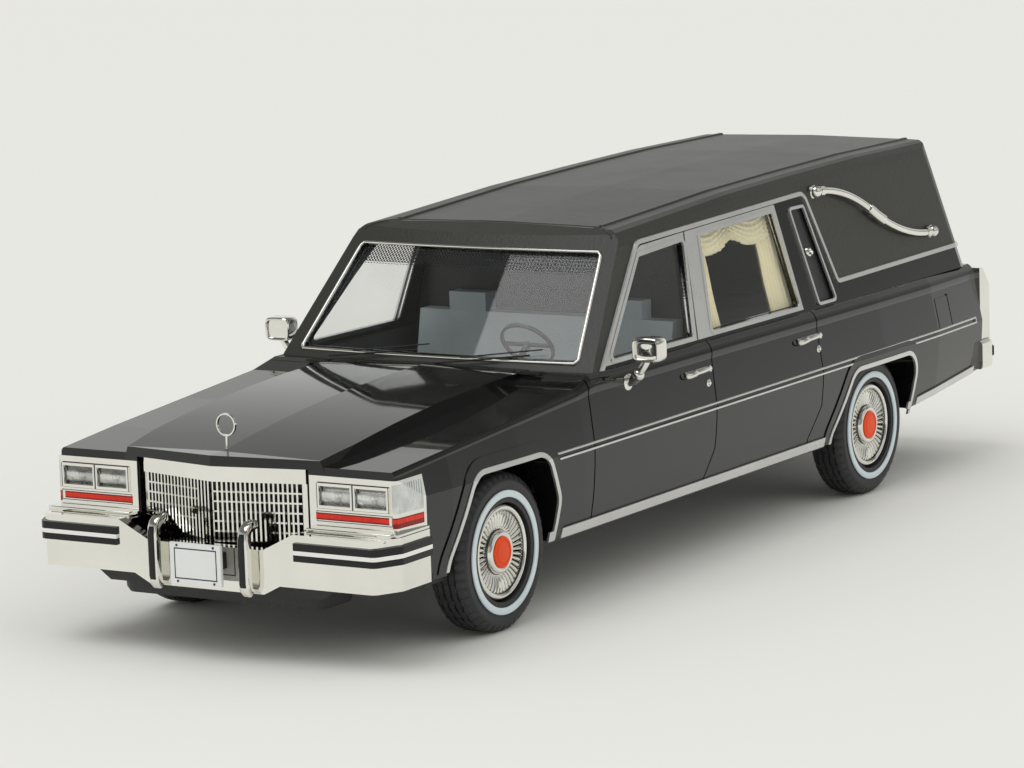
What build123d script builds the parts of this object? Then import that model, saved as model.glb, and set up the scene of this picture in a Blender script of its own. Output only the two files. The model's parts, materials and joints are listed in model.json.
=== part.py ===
from build123d import *
import os
from math import atan, cos, radians, sin

# A 1:43 model of a three-way hearse, in millimetres. X points to the car's left side, the car
# faces -Y and Z is up. The origin is on the floor, under the middle of the whole model.
# The painted body is one hollow casting in three finishes: the gloss lower body, the gloss band
# with the door windows, and the grained roof. Trim follows the body skin, so it is cut from it.

# Overall
wheelbase = 85.2
front_overhang = 25.5
rear_overhang = 35.3
car_length = wheelbase + front_overhang + rear_overhang
front_y = -car_length / 2
rear_y = car_length / 2
front_axle_y = front_y + front_overhang
rear_axle_y = rear_y - rear_overhang
overrun = 6.0
touch = 0.02

# Lower body
nose_setback = 5.7
tail_setback = 4.1
nose_y = front_y + nose_setback
tail_y = rear_y - tail_setback
sill_z = 7.9
sill_half_width = 21.3
bulge_z = 12.5
bulge_half_width = 22.2
crease_z = 17.2
crease_half_width = 22.6
shoulder_z = 22.5
shoulder_half_width = 21.5
shoulder_inset = 0.9
fender_nose_z = 20.3
belt_z = 24.4
hood_length = 42.3
cowl_y = nose_y + hood_length
nose_taper = 9.3
fender_taper = 22.3
cowl_rise = 4.0
quarter_taper = 28.9
tail_taper = 13.9
tail_rise_start = 8.5
tail_rise_z = 8.9
tail_bottom_z = 11.4
nose_bottom_z = 8.7
nose_bottom_length = 7.0
groove_width = 0.22
groove_depth = 0.16
body_wall = 1.3
cabin_front_y = cowl_y + 1.2
partition_y = cowl_y + 25.1
pocket_z = 9.2
pocket_half_width = 19.8
pocket_end = 4.0
deck_z = 18.8

# Raised hood panel
hood_nose_half_width = 10.2
hood_cowl_half_width = 18.4
hood_side_slope = 1.3
hood_foot_z = 19.4
hood_top_clear_z = 26.0
hood_nose_z = 21.2
hood_mid_z = 24.0
hood_cowl_z = 24.75
hood_mid_reach = 22.5
hood_crease_rise = 0.35
nose_vee = 2.3
hood_lip = 0.25

# Wheel openings
wheel_z = 8.5
well_radius = 9.1
well_inner_x = 15.2
well_outer_x = 22.0
front_arch_z = 17.7
rear_arch_z = 16.0
arch_corner = 2.6
arch_lip = 0.55

# Roof and glazed part of the body
house_half_width = 20.5
glass_lean = 0.232
house_wall = 1.0
house_height = 15.3
roof_shoulder_x = 15.5
roof_shoulder_z = 40.75
roof_front_fall = 3.45
roof_side_rise = 1.6
roof_crown = 0.25
roof_bead_x = 13.4
roof_bead_width = 0.7
roof_bead_height = 0.18
screen_base_y = cowl_y - 3.0
screen_rake = 0.916
screen_bow_radius = 176.0
screen_top_z = 37.7
header_length = 3.0
header_rise = 0.9
house_tail_base_y = tail_y - 0.9
house_tail_top_y = tail_y - 4.1
house_tail_corner = 2.4

# Trim that lies on the skin
trim_proud = 0.25
frame_width = 0.5
glass_inset = 0.35
glass_thickness = 0.45

# Outlines in the side view: shares of the way from the cowl to the tail, and from the belt to the
# roof edge at the rear. The gloss band's arch, the door windows and the coach lamp's slot
house_length = tail_y - cowl_y
arch_shares = ((-0.033, -0.196), (0.1416, 0.8137), (0.5708, 0.8856), (0.6102, 0.1634))
arch_tail_share = 0.2026
arch_radius = 1.4
front_window_shares = ((0.0245, 0.059), (0.1374, 0.712), (0.2471, 0.745), (0.2226, 0.059))
rear_window_shares = ((0.2694, 0.059), (0.2897, 0.758), (0.4792, 0.791), (0.4963, 0.059))
lamp_slot_shares = ((0.5495, 0.045), (0.5272, 0.778), (0.5612, 0.778), (0.593, 0.045))
window_radius = 0.35
slot_radius = 0.25

# Windscreen and tailgate window in the front view: shares of the half width and of the same height
screen_shares = ((0.8927, 0.059), (0.7756, 0.7712))
screen_radius = 0.5
tail_window_shares = ((0.561, 0.3137), (0.5122, 0.8366))
tail_window_radius = 0.6

# Wheels
tyre_radius = 8.5
tyre_width = 4.6
tyre_outer_x = 21.6
tyre_shoulder = 0.9
tyre_shoulder_width = 0.7
bead_radius = 5.1
whitewall_outer_radius = 6.6
whitewall_inner_radius = 5.85
whitewall_depth = 0.12
cover_radius = 4.95
cover_inset = 0.35
cover_dish = 0.7
cover_lip = 0.35
cover_rim = 0.7
hub_radius = 1.9
hub_height = 0.65
badge_radius = 1.45
badge_height = 0.15
axle_radius = 0.8
axle_clearance = 0.06
rim_depth = 3.2

# Base plate
plate_z = 7.1
plate_clearance = 0.1
plate_top_z = pocket_z
tunnel_half_length = 2.3
tunnel_top_z = 10.7
tunnel_bottom_z = 6.6
tunnel_half_width = 14.4
screw_hole_radius = 1.0
screw_front_y = front_axle_y + 14.0
screw_rear_y = rear_axle_y - 14.0

# Front end
lamp_inner_x = 10.9
lamp_bottom_z = 14.2
lamp_top_z = 19.5
lamp_wrap = 4.5
lens_recess = 0.45
lens_inner_x = 12.25
lens_width = 3.8
lens_pitch = 4.4
lens_bottom_z = 16.5
lens_height = 2.0
bezel_width = 0.3
bezel_proud = 0.25
turn_inner_x = 11.65
turn_bottom_z = 14.95
grille_half_width = 10.3
grille_bottom_z = 10.6
grille_top_z = 18.4
grille_depth = 0.7
grille_blade = 0.3
grille_border = 0.55
grille_bar = 0.16
grille_columns = 19
grille_rows = 7
header_top_z = 20.0
bumper_bottom_z = 8.4
bumper_top_z = 13.9
bumper_dip = 1.9
bumper_thickness = 1.3

slot_frame = 0.35
edge_trim_width = 0.5
arch_lip_low_z = 8.3
moulding_start = 9.3
sill_height = 1.1
quarter_height = 0.9
quarter_trim_end = 2.3
moulding_height = 0.8
moulding_rise = 0.35
moulding_line = 0.2
lamp_proud = 0.35
lamp_corner_x = 21.45
lamp_corner_radius = 0.5
lamp_side_x = 21.95
lamp_lean = 0.45
lamp_border = 0.4
flare_width = 1.25
flare_proud = 0.14
turn_lamp_height = 0.75
corner_lens_width = 0.45
lens_depth = 0.6
ledge_half_width = 22.2
ledge_proud = 0.9
ledge_height = 0.25
header_proud = 0.2
bumper_front_y = front_y + 1.9
bumper_half_width = 22.3
bumper_wrap = 8.2
bumper_corner = 3.0
bumper_radius = 1.0
dip_half_width = 7.2
bumper_drop = 1.0
strip_inner_x = 11.2
strip_proud = 0.3
strip_bottom_z = 11.2
strip_top_z = 13.1
overrider_x = 5.6
overrider_width = 1.5
overrider_bottom_z = 8.0
overrider_top_z = 14.4
overrider_rake = 0.3
pad_thickness = 0.35
plate_half_width = 3.2
plate_setback = 0.1
plate_thickness = 0.35
number_plate_z = 8.15
number_plate_height = 4.3
bracket_half_width = 1.6
bracket_margin = 1.3
valance_half_width = 15.8
rear_bumper_wrap = 6.4
rear_bumper_bottom_z = 9.9
rear_bumper_top_z = 14.6
tail_column_setback = 1.3
tail_column_shoulder_z = 21.5
tail_column_top_z = 23.9
tail_cap_depth = 0.9
tail_column_inner_x = 18.0
tail_column_outer_x = 21.5
tail_lamp_z = 15.3
tail_lamp_top_z = 20.6
rear_plate_z = 15.6
plate_rear_reach = 8.4
screw_hole_depth = 4.0
tailgate_half_width = 16.4
tailgate_bottom_z = 15.2
tailgate_handle_x = 11.0
tailgate_handle_z = 21.3
rail_x = 9.0
rail_width = 1.6
rail_depth = 0.4
rail_reach = 24.0
cover_seat = 1.3
floor_thickness = 0.8
card_thickness = 0.6
partition_thickness = 0.8
partition_top_z = 35.8
dash_depth = 3.2
dash_overhang = 1.2
dash_bottom_z = 17.0
dash_face_z = 22.0
dash_top_z = 24.2
column_angle = 38.0
column_length = 3.0
column_share = 0.7
column_radius = 0.4
wheel_column_x = 6.8
steering_radius = 3.3
steering_rim = 0.35
seat_front_y = cowl_y + 9.5
cushion_z = 17.0
cushion_nose = 1.0
seat_back_y = cowl_y + 22.1
back_thickness = 2.2
back_rake = 2.0
seat_top_z = 26.6
seat_half_width = 17.0
headrest_x = 10.4
headrest_half_width = 2.5
headrest_height = 2.2
drape_inset = 1.2
drape_thickness = 0.7
drape_margin = 0.6
curtain_front = 3.6
curtain_rear = 5.0
curtain_lean = 1.2
valance_z = 33.4
scallop_half = 2.2
scallop_drop = 0.9
landau_front_y = cowl_y + 56.0
landau_front_z = 37.8
landau_rear_y = cowl_y + 83.9
landau_rear_z = 29.8
landau_start_slope = 0.02
landau_width = 0.95
landau_thickness = 0.6
landau_standoff = 0.35
landau_boss_radius = 0.85
landau_boss_proud = 0.3
landau_middle_drop = 0.3
landau_collar_angle = 28.0
mirror_y = cowl_y + 4.0
mirror_base_z = 22.6
mirror_base_radius = 0.75
mirror_base_length = 1.6
mirror_stem = 0.35
mirror_stem_depth = 0.9
mirror_head_z = 24.9
mirror_head_x = 22.6
mirror_head_width = 3.8
mirror_head_height = 3.0
mirror_head_depth = 1.3
mirror_head_radius = 0.4
front_handle_y = cowl_y + 16.0
rear_handle_y = cowl_y + 43.0
handle_z = 21.5
handle_length = 6.2
handle_height = 0.9
handle_proud = 0.6
ornament_y = nose_y + 0.8
ornament_stem_radius = 0.15
ornament_stem_height = 1.6
ornament_radius = 1.2
inside_mirror_half_width = 1.8
inside_mirror_y = cowl_y + 12.4
inside_mirror_depth = 0.5
inside_mirror_z = 33.0
inside_mirror_height = 1.1

os.makedirs("parts", exist_ok=True)

reach = crease_half_width + overrun


def closed_outline(plane, points, radii=0):
    with BuildSketch(plane) as outline:
        with BuildLine():
            FilletPolyline(*points, radius=radii, close=True)
        make_face()
    return outline.sketch


def side_bar(points, radii=0, x_from=-reach, x_to=reach):
    # A bar across the car with this outline of (y, z) points
    with BuildPart() as bar:
        extrude(closed_outline(Plane.YZ.offset(x_from), points, radii), amount=x_to - x_from)
    return bar.part


def front_bar(points, y_from, y_to, radii=0):
    # A bar along the car with this outline of (x, z) points
    with BuildPart() as bar:
        extrude(closed_outline(Plane.XZ.offset(-y_to), points, radii), amount=y_to - y_from)
    return bar.part


def plan_bar(points, z_from, z_to, radii=0):
    # An upright bar with this outline of (x, y) points
    with BuildPart() as bar:
        extrude(closed_outline(Plane.XY.offset(z_from), points, radii), amount=z_to - z_from)
    return bar.part


def block(x_from, x_to, y_from, y_to, z_from, z_to):
    corners = ((x_from, y_from), (x_to, y_from), (x_to, y_to), (x_from, y_to))
    return plan_bar(corners, z_from, z_to)


def rectangle_points(a_from, a_to, b_from, b_to):
    return ((a_from, b_from), (a_to, b_from), (a_to, b_to), (a_from, b_to))


def symmetric_points(half_points):
    # The outline of (x, z) points given for the left half, from bottom to top
    return tuple(half_points) + tuple((-x, z) for x, z in reversed(half_points))


def combine(first, *others, mode=Mode.ADD):
    with BuildPart() as result:
        add(first)
        for other in others:
            add(other, mode=mode)
    return result.part


def both_sides(piece):
    with BuildPart() as pair:
        add(piece)
        mirror(about=Plane.YZ)
    return pair.part


def side_x(z):
    lean = (crease_half_width - shoulder_half_width) / (shoulder_z - crease_z)
    return crease_half_width - lean * (z - crease_z)


# Stations of the lower body along y, and at each the shares of the half width, of the rise from
# the fender nose to the belt, and of the rounded shoulder
shoulder_drop = belt_z - shoulder_z
station_places = (nose_y, nose_y + nose_taper, nose_y + fender_taper, screen_base_y - cowl_rise,
                  screen_base_y - groove_width, tail_y - quarter_taper, tail_y - tail_taper, tail_y)
station_shares = ((0.955, 0, 0.35), (0.978, 0.2, 0.35), (0.993, 0.46, 0.4), (1, 0.75, 0.6),
                  (1, 1, 1), (1, 1, 1), (0.992, 1, 1), (0.965, 1, 1))
arc_mid_share = 0.29


def body_section(y, width_share, rise_share, shoulder_share, grow):
    top_z = fender_nose_z + rise_share * (belt_z - fender_nose_z)
    drop = shoulder_share * shoulder_drop
    inset = shoulder_share * shoulder_inset
    shoulder_x = side_x(top_z - drop) * width_share
    shoulder = (shoulder_x + grow, top_z - drop)
    rim = (shoulder_x - inset + grow, top_z + grow)
    turn = (shoulder_x - arc_mid_share * inset + grow, top_z - arc_mid_share * drop + grow)
    sill = (sill_half_width * width_share + grow, sill_z)
    bulge = (bulge_half_width * width_share + grow, bulge_z)
    crease = (crease_half_width * width_share + grow, crease_z)
    with BuildSketch(Plane.XZ.offset(-y)) as section:
        with BuildLine():
            Line((0, sill_z), sill)
            ThreePointArc(sill, bulge, crease)
            Line(crease, shoulder)
            ThreePointArc(shoulder, turn, rim)
            Line(rim, (0, top_z + grow))
            mirror(about=Plane.YZ)
        make_face()
    return section.sketch


def body_form(grow):
    sections = [body_section(y, *shares, grow) for y, shares in zip(station_places, station_shares)]
    with BuildPart() as form:
        loft(sections=sections, ruled=True)
    return form.part


# Stations of the arched roof, as shares of the way from the cowl to the tail and of its fall at the
# front. Its shoulder and the tail corners turn in flats at these angles
roof_arch_shares = ((0.213, 0.55), (0.394, 0.275), (0.564, 0.13), (0.745, 0.015))
roof_stations = ((screen_base_y - overrun, 1),
                 *[(cowl_y + along * house_length, fall) for along, fall in roof_arch_shares],
                 (rear_y + overrun, 0))
turn_angles = (0, 30, 60, 90)
roof_top_z = roof_shoulder_z + roof_crown
house_clear_z = roof_top_z + overrun / 2
roof_clear_share = 1.15


def lean_x(z, lean=glass_lean):
    return house_half_width - lean * (z - belt_z)


def screen_y(z):
    return screen_base_y + screen_rake * (z - belt_z)


def tail_window_y(z):
    slope = (house_tail_top_y - house_tail_base_y) / house_height
    return house_tail_base_y + slope * (z - belt_z)


def house_plan(z, grow):
    # A level section through the glazed part, run out past the windscreen: round tail corners
    front = screen_base_y - overrun / 2
    half = lean_x(z) + grow
    back = tail_window_y(z) + grow
    corner = house_tail_corner + grow
    turn = [(half - corner + corner * cos(radians(angle)), back - corner + corner * sin(radians(angle)))
            for angle in turn_angles]
    points = ((half, front), *turn, *[(-x, y) for x, y in reversed(turn)], (-half, front))
    return closed_outline(Plane.XY.offset(z), points)


def screen_form(grow):
    # The bowed windscreen's surface: a wide circle drawn up along the rake
    front = screen_base_y - grow / cos(atan(screen_rake))
    rake = Vector(0, screen_rake, 1)
    with BuildPart() as form:
        with BuildSketch(Plane.XY.offset(belt_z)) as circle:
            with Locations((0, front + screen_bow_radius)):
                Circle(screen_bow_radius)
        extrude(circle.sketch, amount=(house_clear_z - belt_z) * rake.length, dir=rake.normalized())
    return form.part


def roof_section(y, share, grow):
    # The roof's cross section, standing just clear of the leaning sides below its edge, with a raised
    # bead along each side
    shoulder_z = roof_shoulder_z - share * roof_front_fall
    edge_z = shoulder_z - roof_side_rise
    edge_x = lean_x(edge_z)
    foot = (edge_x + roof_clear_share * glass_lean * (edge_z - belt_z) + grow, belt_z)
    turn = [(roof_shoulder_x + (edge_x - roof_shoulder_x) * cos(radians(angle)) + grow,
             edge_z + roof_side_rise * sin(radians(angle)) + grow) for angle in turn_angles]
    bead = []
    if grow >= 0:
        half = roof_bead_width / 2
        foot_z = shoulder_z + roof_crown * (1 - roof_bead_x / roof_shoulder_x) + grow
        top_z = foot_z + roof_bead_height
        bead = [(roof_bead_x + half, foot_z), (roof_bead_x + half / 2, top_z),
                (roof_bead_x - half / 2, top_z), (roof_bead_x - half, foot_z)]
    with BuildSketch(Plane.XZ.offset(-y)) as section:
        with BuildLine():
            Polyline((0, belt_z), foot, *turn, *bead, (0, shoulder_z + roof_crown + grow))
            mirror(about=Plane.YZ)
        make_face()
    return section.sketch


def header_profile(grow):
    # The side view above the windscreen: the header rises in one slope to the roof
    header_y = screen_y(screen_top_z) - grow
    return (
        (screen_base_y - overrun, belt_z),
        (screen_base_y - overrun, screen_top_z + grow),
        (header_y, screen_top_z + grow),
        (header_y + header_length, screen_top_z + header_rise + grow),
        (header_y + car_length / 2, house_clear_z + overrun),
        (rear_y + overrun, house_clear_z + overrun),
        (rear_y + overrun, belt_z),
    )


def house_form(grow):
    with BuildPart() as form:
        loft(sections=[house_plan(belt_z, grow), house_plan(house_clear_z, grow)], ruled=True)
        loft(sections=[roof_section(*station, grow) for station in roof_stations], ruled=True,
             mode=Mode.INTERSECT)
        add(screen_form(grow), mode=Mode.INTERSECT)
        add(side_bar(header_profile(grow)), mode=Mode.INTERSECT)
    return form.part


body = body_form(0)
house = house_form(0)
house_shell = combine(house, house_form(-house_wall), mode=Mode.SUBTRACT)
body_skin = combine(body_form(trim_proud), body, mode=Mode.SUBTRACT)
house_skin = combine(house_form(trim_proud), house, mode=Mode.SUBTRACT)
groove_skin = combine(body, body_form(-groove_depth), mode=Mode.SUBTRACT)
glass_skin = combine(house_form(-glass_inset), house_form(-glass_inset - glass_thickness),
                     mode=Mode.SUBTRACT)


def on_side(shares):
    # Side view points from shares of the glazed body's length and height
    return tuple((cowl_y + along * house_length, belt_z + up * house_height) for along, up in shares)


def on_front(shares):
    # Front view points from shares of the glazed body's half width and height
    return tuple((across * house_half_width, belt_z + up * house_height) for across, up in shares)


front_window = on_side(front_window_shares)
rear_window = on_side(rear_window_shares)
lamp_slot = on_side(lamp_slot_shares)
screen_points = symmetric_points(on_front(screen_shares))
tail_window_points = symmetric_points(on_front(tail_window_shares))

# Outlines of the wheel openings, down past the sill: shares of the tyre radius from the axle, and
# of each opening's height
front_arch_shares = ((-1.247, 0), (-1.2, 0.537), (-0.729, 1), (0.871, 1), (1.176, 0.701), (1.047, 0))
rear_arch_shares = ((-1.365, 0), (-1.282, 0.563), (-0.729, 1), (1.282, 1), (1.141, 0.5), (1.106, 0))
arch_radii = (0, arch_corner, arch_corner, arch_corner, arch_corner, 0)


def arch_places(shares, axle_y, top_z):
    return tuple((axle_y + along * tyre_radius, up * top_z) for along, up in shares)


def arch_outline(points, widen, x):
    with BuildSketch(Plane.YZ.offset(x)) as outline:
        with BuildLine():
            FilletPolyline(*points, radius=arch_radii, close=True)
        make_face()
        if widen > 0:
            offset(amount=widen)
    return outline.sketch


def arch_bar(points, widen, x_from, x_to):
    with BuildPart() as bar:
        extrude(arch_outline(points, widen, x_from), amount=x_to - x_from)
        mirror(about=Plane.YZ)
    return bar.part


front_arch = arch_places(front_arch_shares, front_axle_y, front_arch_z)
rear_arch = arch_places(rear_arch_shares, rear_axle_y, rear_arch_z)
arches = ((front_arch, front_axle_y), (rear_arch, rear_axle_y))


def wheel_well(points, axle_y):
    with BuildPart() as well:
        with BuildSketch(Plane.YZ.offset(well_inner_x)):
            with Locations((axle_y, wheel_z)):
                Circle(well_radius)
        extrude(amount=well_outer_x - well_inner_x)
        mirror(about=Plane.YZ)
        add(arch_bar(points, 0, well_inner_x, reach))
        add(block(-reach, -well_inner_x, axle_y - well_radius, axle_y + well_radius, 0, wheel_z))
        add(block(well_inner_x, reach, axle_y - well_radius, axle_y + well_radius, 0, wheel_z))
    return well.part


def hood_half():
    # Half of the raised panel: an arched profile drawn out sideways, falling a little outwards
    side = Vector(1, 0, -hood_crease_rise / hood_cowl_half_width).normalized()
    nose = nose_y - nose_vee - overrun
    with BuildSketch(Plane.YZ) as profile:
        with BuildLine():
            ThreePointArc((nose_y, hood_nose_z), (nose_y + hood_mid_reach, hood_mid_z),
                          (cowl_y, hood_cowl_z))
            Polyline((cowl_y, hood_cowl_z), (cowl_y, hood_foot_z), (nose, hood_foot_z),
                     (nose, hood_nose_z - hood_lip), (nose_y, hood_nose_z))
        make_face()
    nose_foot = hood_nose_half_width + hood_side_slope
    cowl_foot = hood_cowl_half_width + hood_side_slope
    with BuildPart() as half:
        extrude(profile.sketch, amount=reach, dir=side)
        foot = closed_outline(Plane.XY.offset(hood_foot_z), (
            (-nose_foot, nose), (nose_foot, nose), (cowl_foot, cowl_y + touch), (-cowl_foot, cowl_y + touch)))
        top = closed_outline(Plane.XY.offset(hood_top_clear_z), (
            (-hood_nose_half_width + hood_side_slope, nose), (hood_nose_half_width - hood_side_slope, nose),
            (hood_cowl_half_width - hood_side_slope, cowl_y + touch),
            (-hood_cowl_half_width + hood_side_slope, cowl_y + touch)))
        loft(sections=[foot, top], ruled=True, mode=Mode.INTERSECT)
    return half.part


def vee_outline(front, half_width, y_back):
    # A plan outline with its point on the centre line
    return ((-half_width, front + nose_vee), (0, front), (half_width, front + nose_vee),
            (half_width, y_back), (-half_width, y_back))


vee_point_y = nose_y - nose_vee
hood_plan = vee_outline(vee_point_y, hood_nose_half_width + 2 * hood_side_slope, cowl_y)
hood_nose = combine(both_sides(hood_half()), plan_bar(hood_plan, hood_foot_z, hood_top_clear_z),
                    mode=Mode.INTERSECT)

# Shut lines on the side: shares of the way from the cowl to the tail, and of the belt's height
shut_line_shares = (
    ((-0.0511, 0), (-0.0511, 0.385), (-0.0554, 0.705), (-0.0447, 1)),
    ((0.2162, 0), (0.2162, 0.377), (0.2354, 0.508), (0.2354, 0.705), (0.2577, 1.2)),
    ((0.4856, 0), (0.4856, 0.393), (0.5133, 0.541), (0.5144, 0.705), (0.5261, 1.2)),
    ((0.859, 0.73), (0.859, 0.89), (0.9009, 0.89), (0.9009, 0.73), (0.859, 0.73)),
)


def groove(route):
    with BuildPart() as cutter:
        with BuildSketch(Plane.YZ):
            with BuildLine():
                Polyline(*route)
            trace(line_width=groove_width)
        extrude(amount=reach, both=True)
    return cutter.part


shut_lines = [groove([(cowl_y + along * house_length, up * belt_z) for along, up in shares])
              for shares in shut_line_shares]

with BuildPart() as tailgate_line:
    with BuildSketch(Plane.XZ.offset(-tail_y - overrun)):
        with BuildLine():
            Polyline((-tailgate_half_width, belt_z + overrun), (-tailgate_half_width, tailgate_bottom_z),
                     (tailgate_half_width, tailgate_bottom_z), (tailgate_half_width, belt_z + overrun))
        trace(line_width=groove_width)
    extrude(amount=overrun + groove_depth)

# Raised steps round the wheel openings, outside their bright lips
flare_skin = combine(body_form(flare_proud), body, mode=Mode.SUBTRACT)
flare_bars = [combine(arch_bar(points, arch_lip + flare_width, well_inner_x, reach),
                      arch_bar(points, arch_lip, well_inner_x, reach), mode=Mode.SUBTRACT)
              for points, axle_y in arches]
flare_zone = block(-reach, reach, front_y, rear_y, arch_lip_low_z, belt_z)

cavity_half_width = house_half_width - house_wall
load_rear_y = house_tail_base_y - body_wall
lamp_box = block(lamp_inner_x, reach, nose_y - overrun, nose_y + lamp_wrap, lamp_bottom_z, lamp_top_z)
grille_recess = block(-grille_half_width - grille_border, grille_half_width + grille_border,
                      nose_y - overrun, nose_y + grille_depth + header_proud, grille_bottom_z, header_top_z)

with BuildPart() as lower_body:
    add(body)
    add(hood_nose)
    add(house, mode=Mode.SUBTRACT)
    for points, axle_y in arches:
        add(wheel_well(points, axle_y), mode=Mode.SUBTRACT)
    for line in shut_lines:
        add(combine(groove_skin, line, mode=Mode.INTERSECT), mode=Mode.SUBTRACT)
    add(tailgate_line.part, mode=Mode.SUBTRACT)
    for bar in flare_bars:
        add(combine(combine(flare_skin, bar, mode=Mode.INTERSECT), flare_zone, mode=Mode.INTERSECT))
    add(block(-pocket_half_width, pocket_half_width, nose_y + pocket_end, tail_y - pocket_end,
              0, pocket_z), mode=Mode.SUBTRACT)
    for axle_y in (front_axle_y, rear_axle_y):
        add(block(-well_inner_x, well_inner_x, axle_y - tunnel_half_length - plate_clearance,
                  axle_y + tunnel_half_length + plate_clearance, 0, tunnel_top_z + plate_clearance),
            mode=Mode.SUBTRACT)
    add(block(-cavity_half_width, cavity_half_width, cabin_front_y, partition_y, 0, belt_z + touch),
        mode=Mode.SUBTRACT)
    add(block(-cavity_half_width, cavity_half_width, partition_y, load_rear_y, deck_z, belt_z + touch),
        mode=Mode.SUBTRACT)
    add(both_sides(lamp_box), mode=Mode.SUBTRACT)
    add(grille_recess, mode=Mode.SUBTRACT)
    add(side_bar(((rear_axle_y + tail_rise_start, 0), (rear_axle_y + tail_rise_start, tail_rise_z),
                  (tail_y + overrun, tail_bottom_z), (tail_y + overrun, 0))), mode=Mode.SUBTRACT)
    add(side_bar(rectangle_points(nose_y - overrun, nose_y + nose_bottom_length, 0, nose_bottom_z)),
        mode=Mode.SUBTRACT)
    with Locations((0, screw_front_y, pocket_z), (0, screw_rear_y, pocket_z)):
        Cylinder(screw_hole_radius, screw_hole_depth, align=(Align.CENTER, Align.CENTER, Align.MIN),
                 mode=Mode.SUBTRACT)
lower_body.part.label = "lower_body"
export_step(lower_body.part, "parts/lower_body.step")

# Gloss band and roof
roof_edge_route = (*on_side(arch_shares), (rear_y + overrun, belt_z + arch_tail_share * house_height))
band_points = (*roof_edge_route, (rear_y + overrun, roof_edge_route[0][1]))
band_bar = side_bar(band_points, (0, arch_radius, arch_radius, arch_radius / 2, 0, 0))
front_window_bar = side_bar(front_window, window_radius)
rear_window_bar = side_bar(rear_window, window_radius)
slot_bar = side_bar(lamp_slot, slot_radius)

with BuildPart() as window_band:
    add(house_shell)
    add(band_bar, mode=Mode.INTERSECT)
    for opening in (front_window_bar, rear_window_bar, slot_bar):
        add(opening, mode=Mode.SUBTRACT)
window_band.part.label = "window_band"
export_step(window_band.part, "parts/window_band.step")

screen_bar = front_bar(screen_points, screen_base_y - overrun, screen_y(screen_top_z) + overrun / 2,
                       screen_radius)
tail_window_bar = front_bar(tail_window_points, house_tail_top_y - overrun, rear_y, tail_window_radius)

with BuildPart() as roof_shell:
    add(house_shell)
    add(band_bar, mode=Mode.SUBTRACT)
    add(screen_bar, mode=Mode.SUBTRACT)
    add(tail_window_bar, mode=Mode.SUBTRACT)
roof_shell.part.label = "roof_shell"
export_step(roof_shell.part, "parts/roof_shell.step")


def export(piece, name):
    # Write one finished piece under its node's name
    with BuildPart() as node:
        add(piece)
    node.part.label = name
    export_step(node.part, f"parts/{name}.step")


def ring_on_skin(skin, outer_bar, inner_bar):
    return combine(combine(skin, outer_bar, mode=Mode.INTERSECT), inner_bar, mode=Mode.SUBTRACT)


def grown_outline(plane, points, radii, growth):
    with BuildSketch(plane) as outline:
        with BuildLine():
            FilletPolyline(*points, radius=radii, close=True)
        make_face()
        offset(amount=growth)
    return outline.sketch


def grown_side_bar(points, radii, growth):
    with BuildPart() as bar:
        extrude(grown_outline(Plane.YZ, points, radii, growth), amount=reach, both=True)
    return bar.part


def grown_front_bar(points, radii, growth, y_from, y_to):
    with BuildPart() as bar:
        extrude(grown_outline(Plane.XZ.offset(-y_to), points, radii, growth), amount=y_to - y_from)
    return bar.part


# Glass, set into its openings a little below the skin
with BuildPart() as windscreen_glass:
    add(glass_skin)
    add(screen_bar, mode=Mode.INTERSECT)
windscreen_glass.part.label = "windscreen_glass"
export_step(windscreen_glass.part, "parts/windscreen_glass.step")

with BuildPart() as front_door_glass:
    add(glass_skin)
    add(front_window_bar, mode=Mode.INTERSECT)
front_door_glass.part.label = "front_door_glass"
export_step(front_door_glass.part, "parts/front_door_glass.step")

with BuildPart() as rear_door_glass:
    add(glass_skin)
    add(rear_window_bar, mode=Mode.INTERSECT)
rear_door_glass.part.label = "rear_door_glass"
export_step(rear_door_glass.part, "parts/rear_door_glass.step")

with BuildPart() as tailgate_glass:
    add(glass_skin)
    add(tail_window_bar, mode=Mode.INTERSECT)
tailgate_glass.part.label = "tailgate_glass"
export_step(tailgate_glass.part, "parts/tailgate_glass.step")

with BuildPart() as coach_lamp_lenses:
    add(glass_skin)
    add(slot_bar, mode=Mode.INTERSECT)
coach_lamp_lenses.part.label = "coach_lamp_lenses"
export_step(coach_lamp_lenses.part, "parts/coach_lamp_lenses.step")

# Bright frames round the glass
with BuildPart() as windscreen_trim:
    add(ring_on_skin(house_skin,
                     grown_front_bar(screen_points, screen_radius, frame_width,
                                     screen_base_y - overrun, screen_y(screen_top_z) + overrun / 2),
                     screen_bar))
windscreen_trim.part.label = "windscreen_trim"
export_step(windscreen_trim.part, "parts/windscreen_trim.step")

with BuildPart() as tailgate_window_trim:
    add(ring_on_skin(house_skin,
                     grown_front_bar(tail_window_points, tail_window_radius, frame_width,
                                     house_tail_top_y - overrun, rear_y),
                     tail_window_bar))
tailgate_window_trim.part.label = "tailgate_window_trim"
export_step(tailgate_window_trim.part, "parts/tailgate_window_trim.step")

with BuildPart() as door_window_frames:
    for points, opening in ((front_window, front_window_bar), (rear_window, rear_window_bar)):
        add(ring_on_skin(house_skin, grown_side_bar(points, window_radius, frame_width), opening))
door_window_frames.part.label = "door_window_frames"
export_step(door_window_frames.part, "parts/door_window_frames.step")

with BuildPart() as coach_lamp_frames:
    add(ring_on_skin(house_skin, grown_side_bar(lamp_slot, slot_radius, slot_frame), slot_bar))
coach_lamp_frames.part.label = "coach_lamp_frames"
export_step(coach_lamp_frames.part, "parts/coach_lamp_frames.step")

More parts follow.
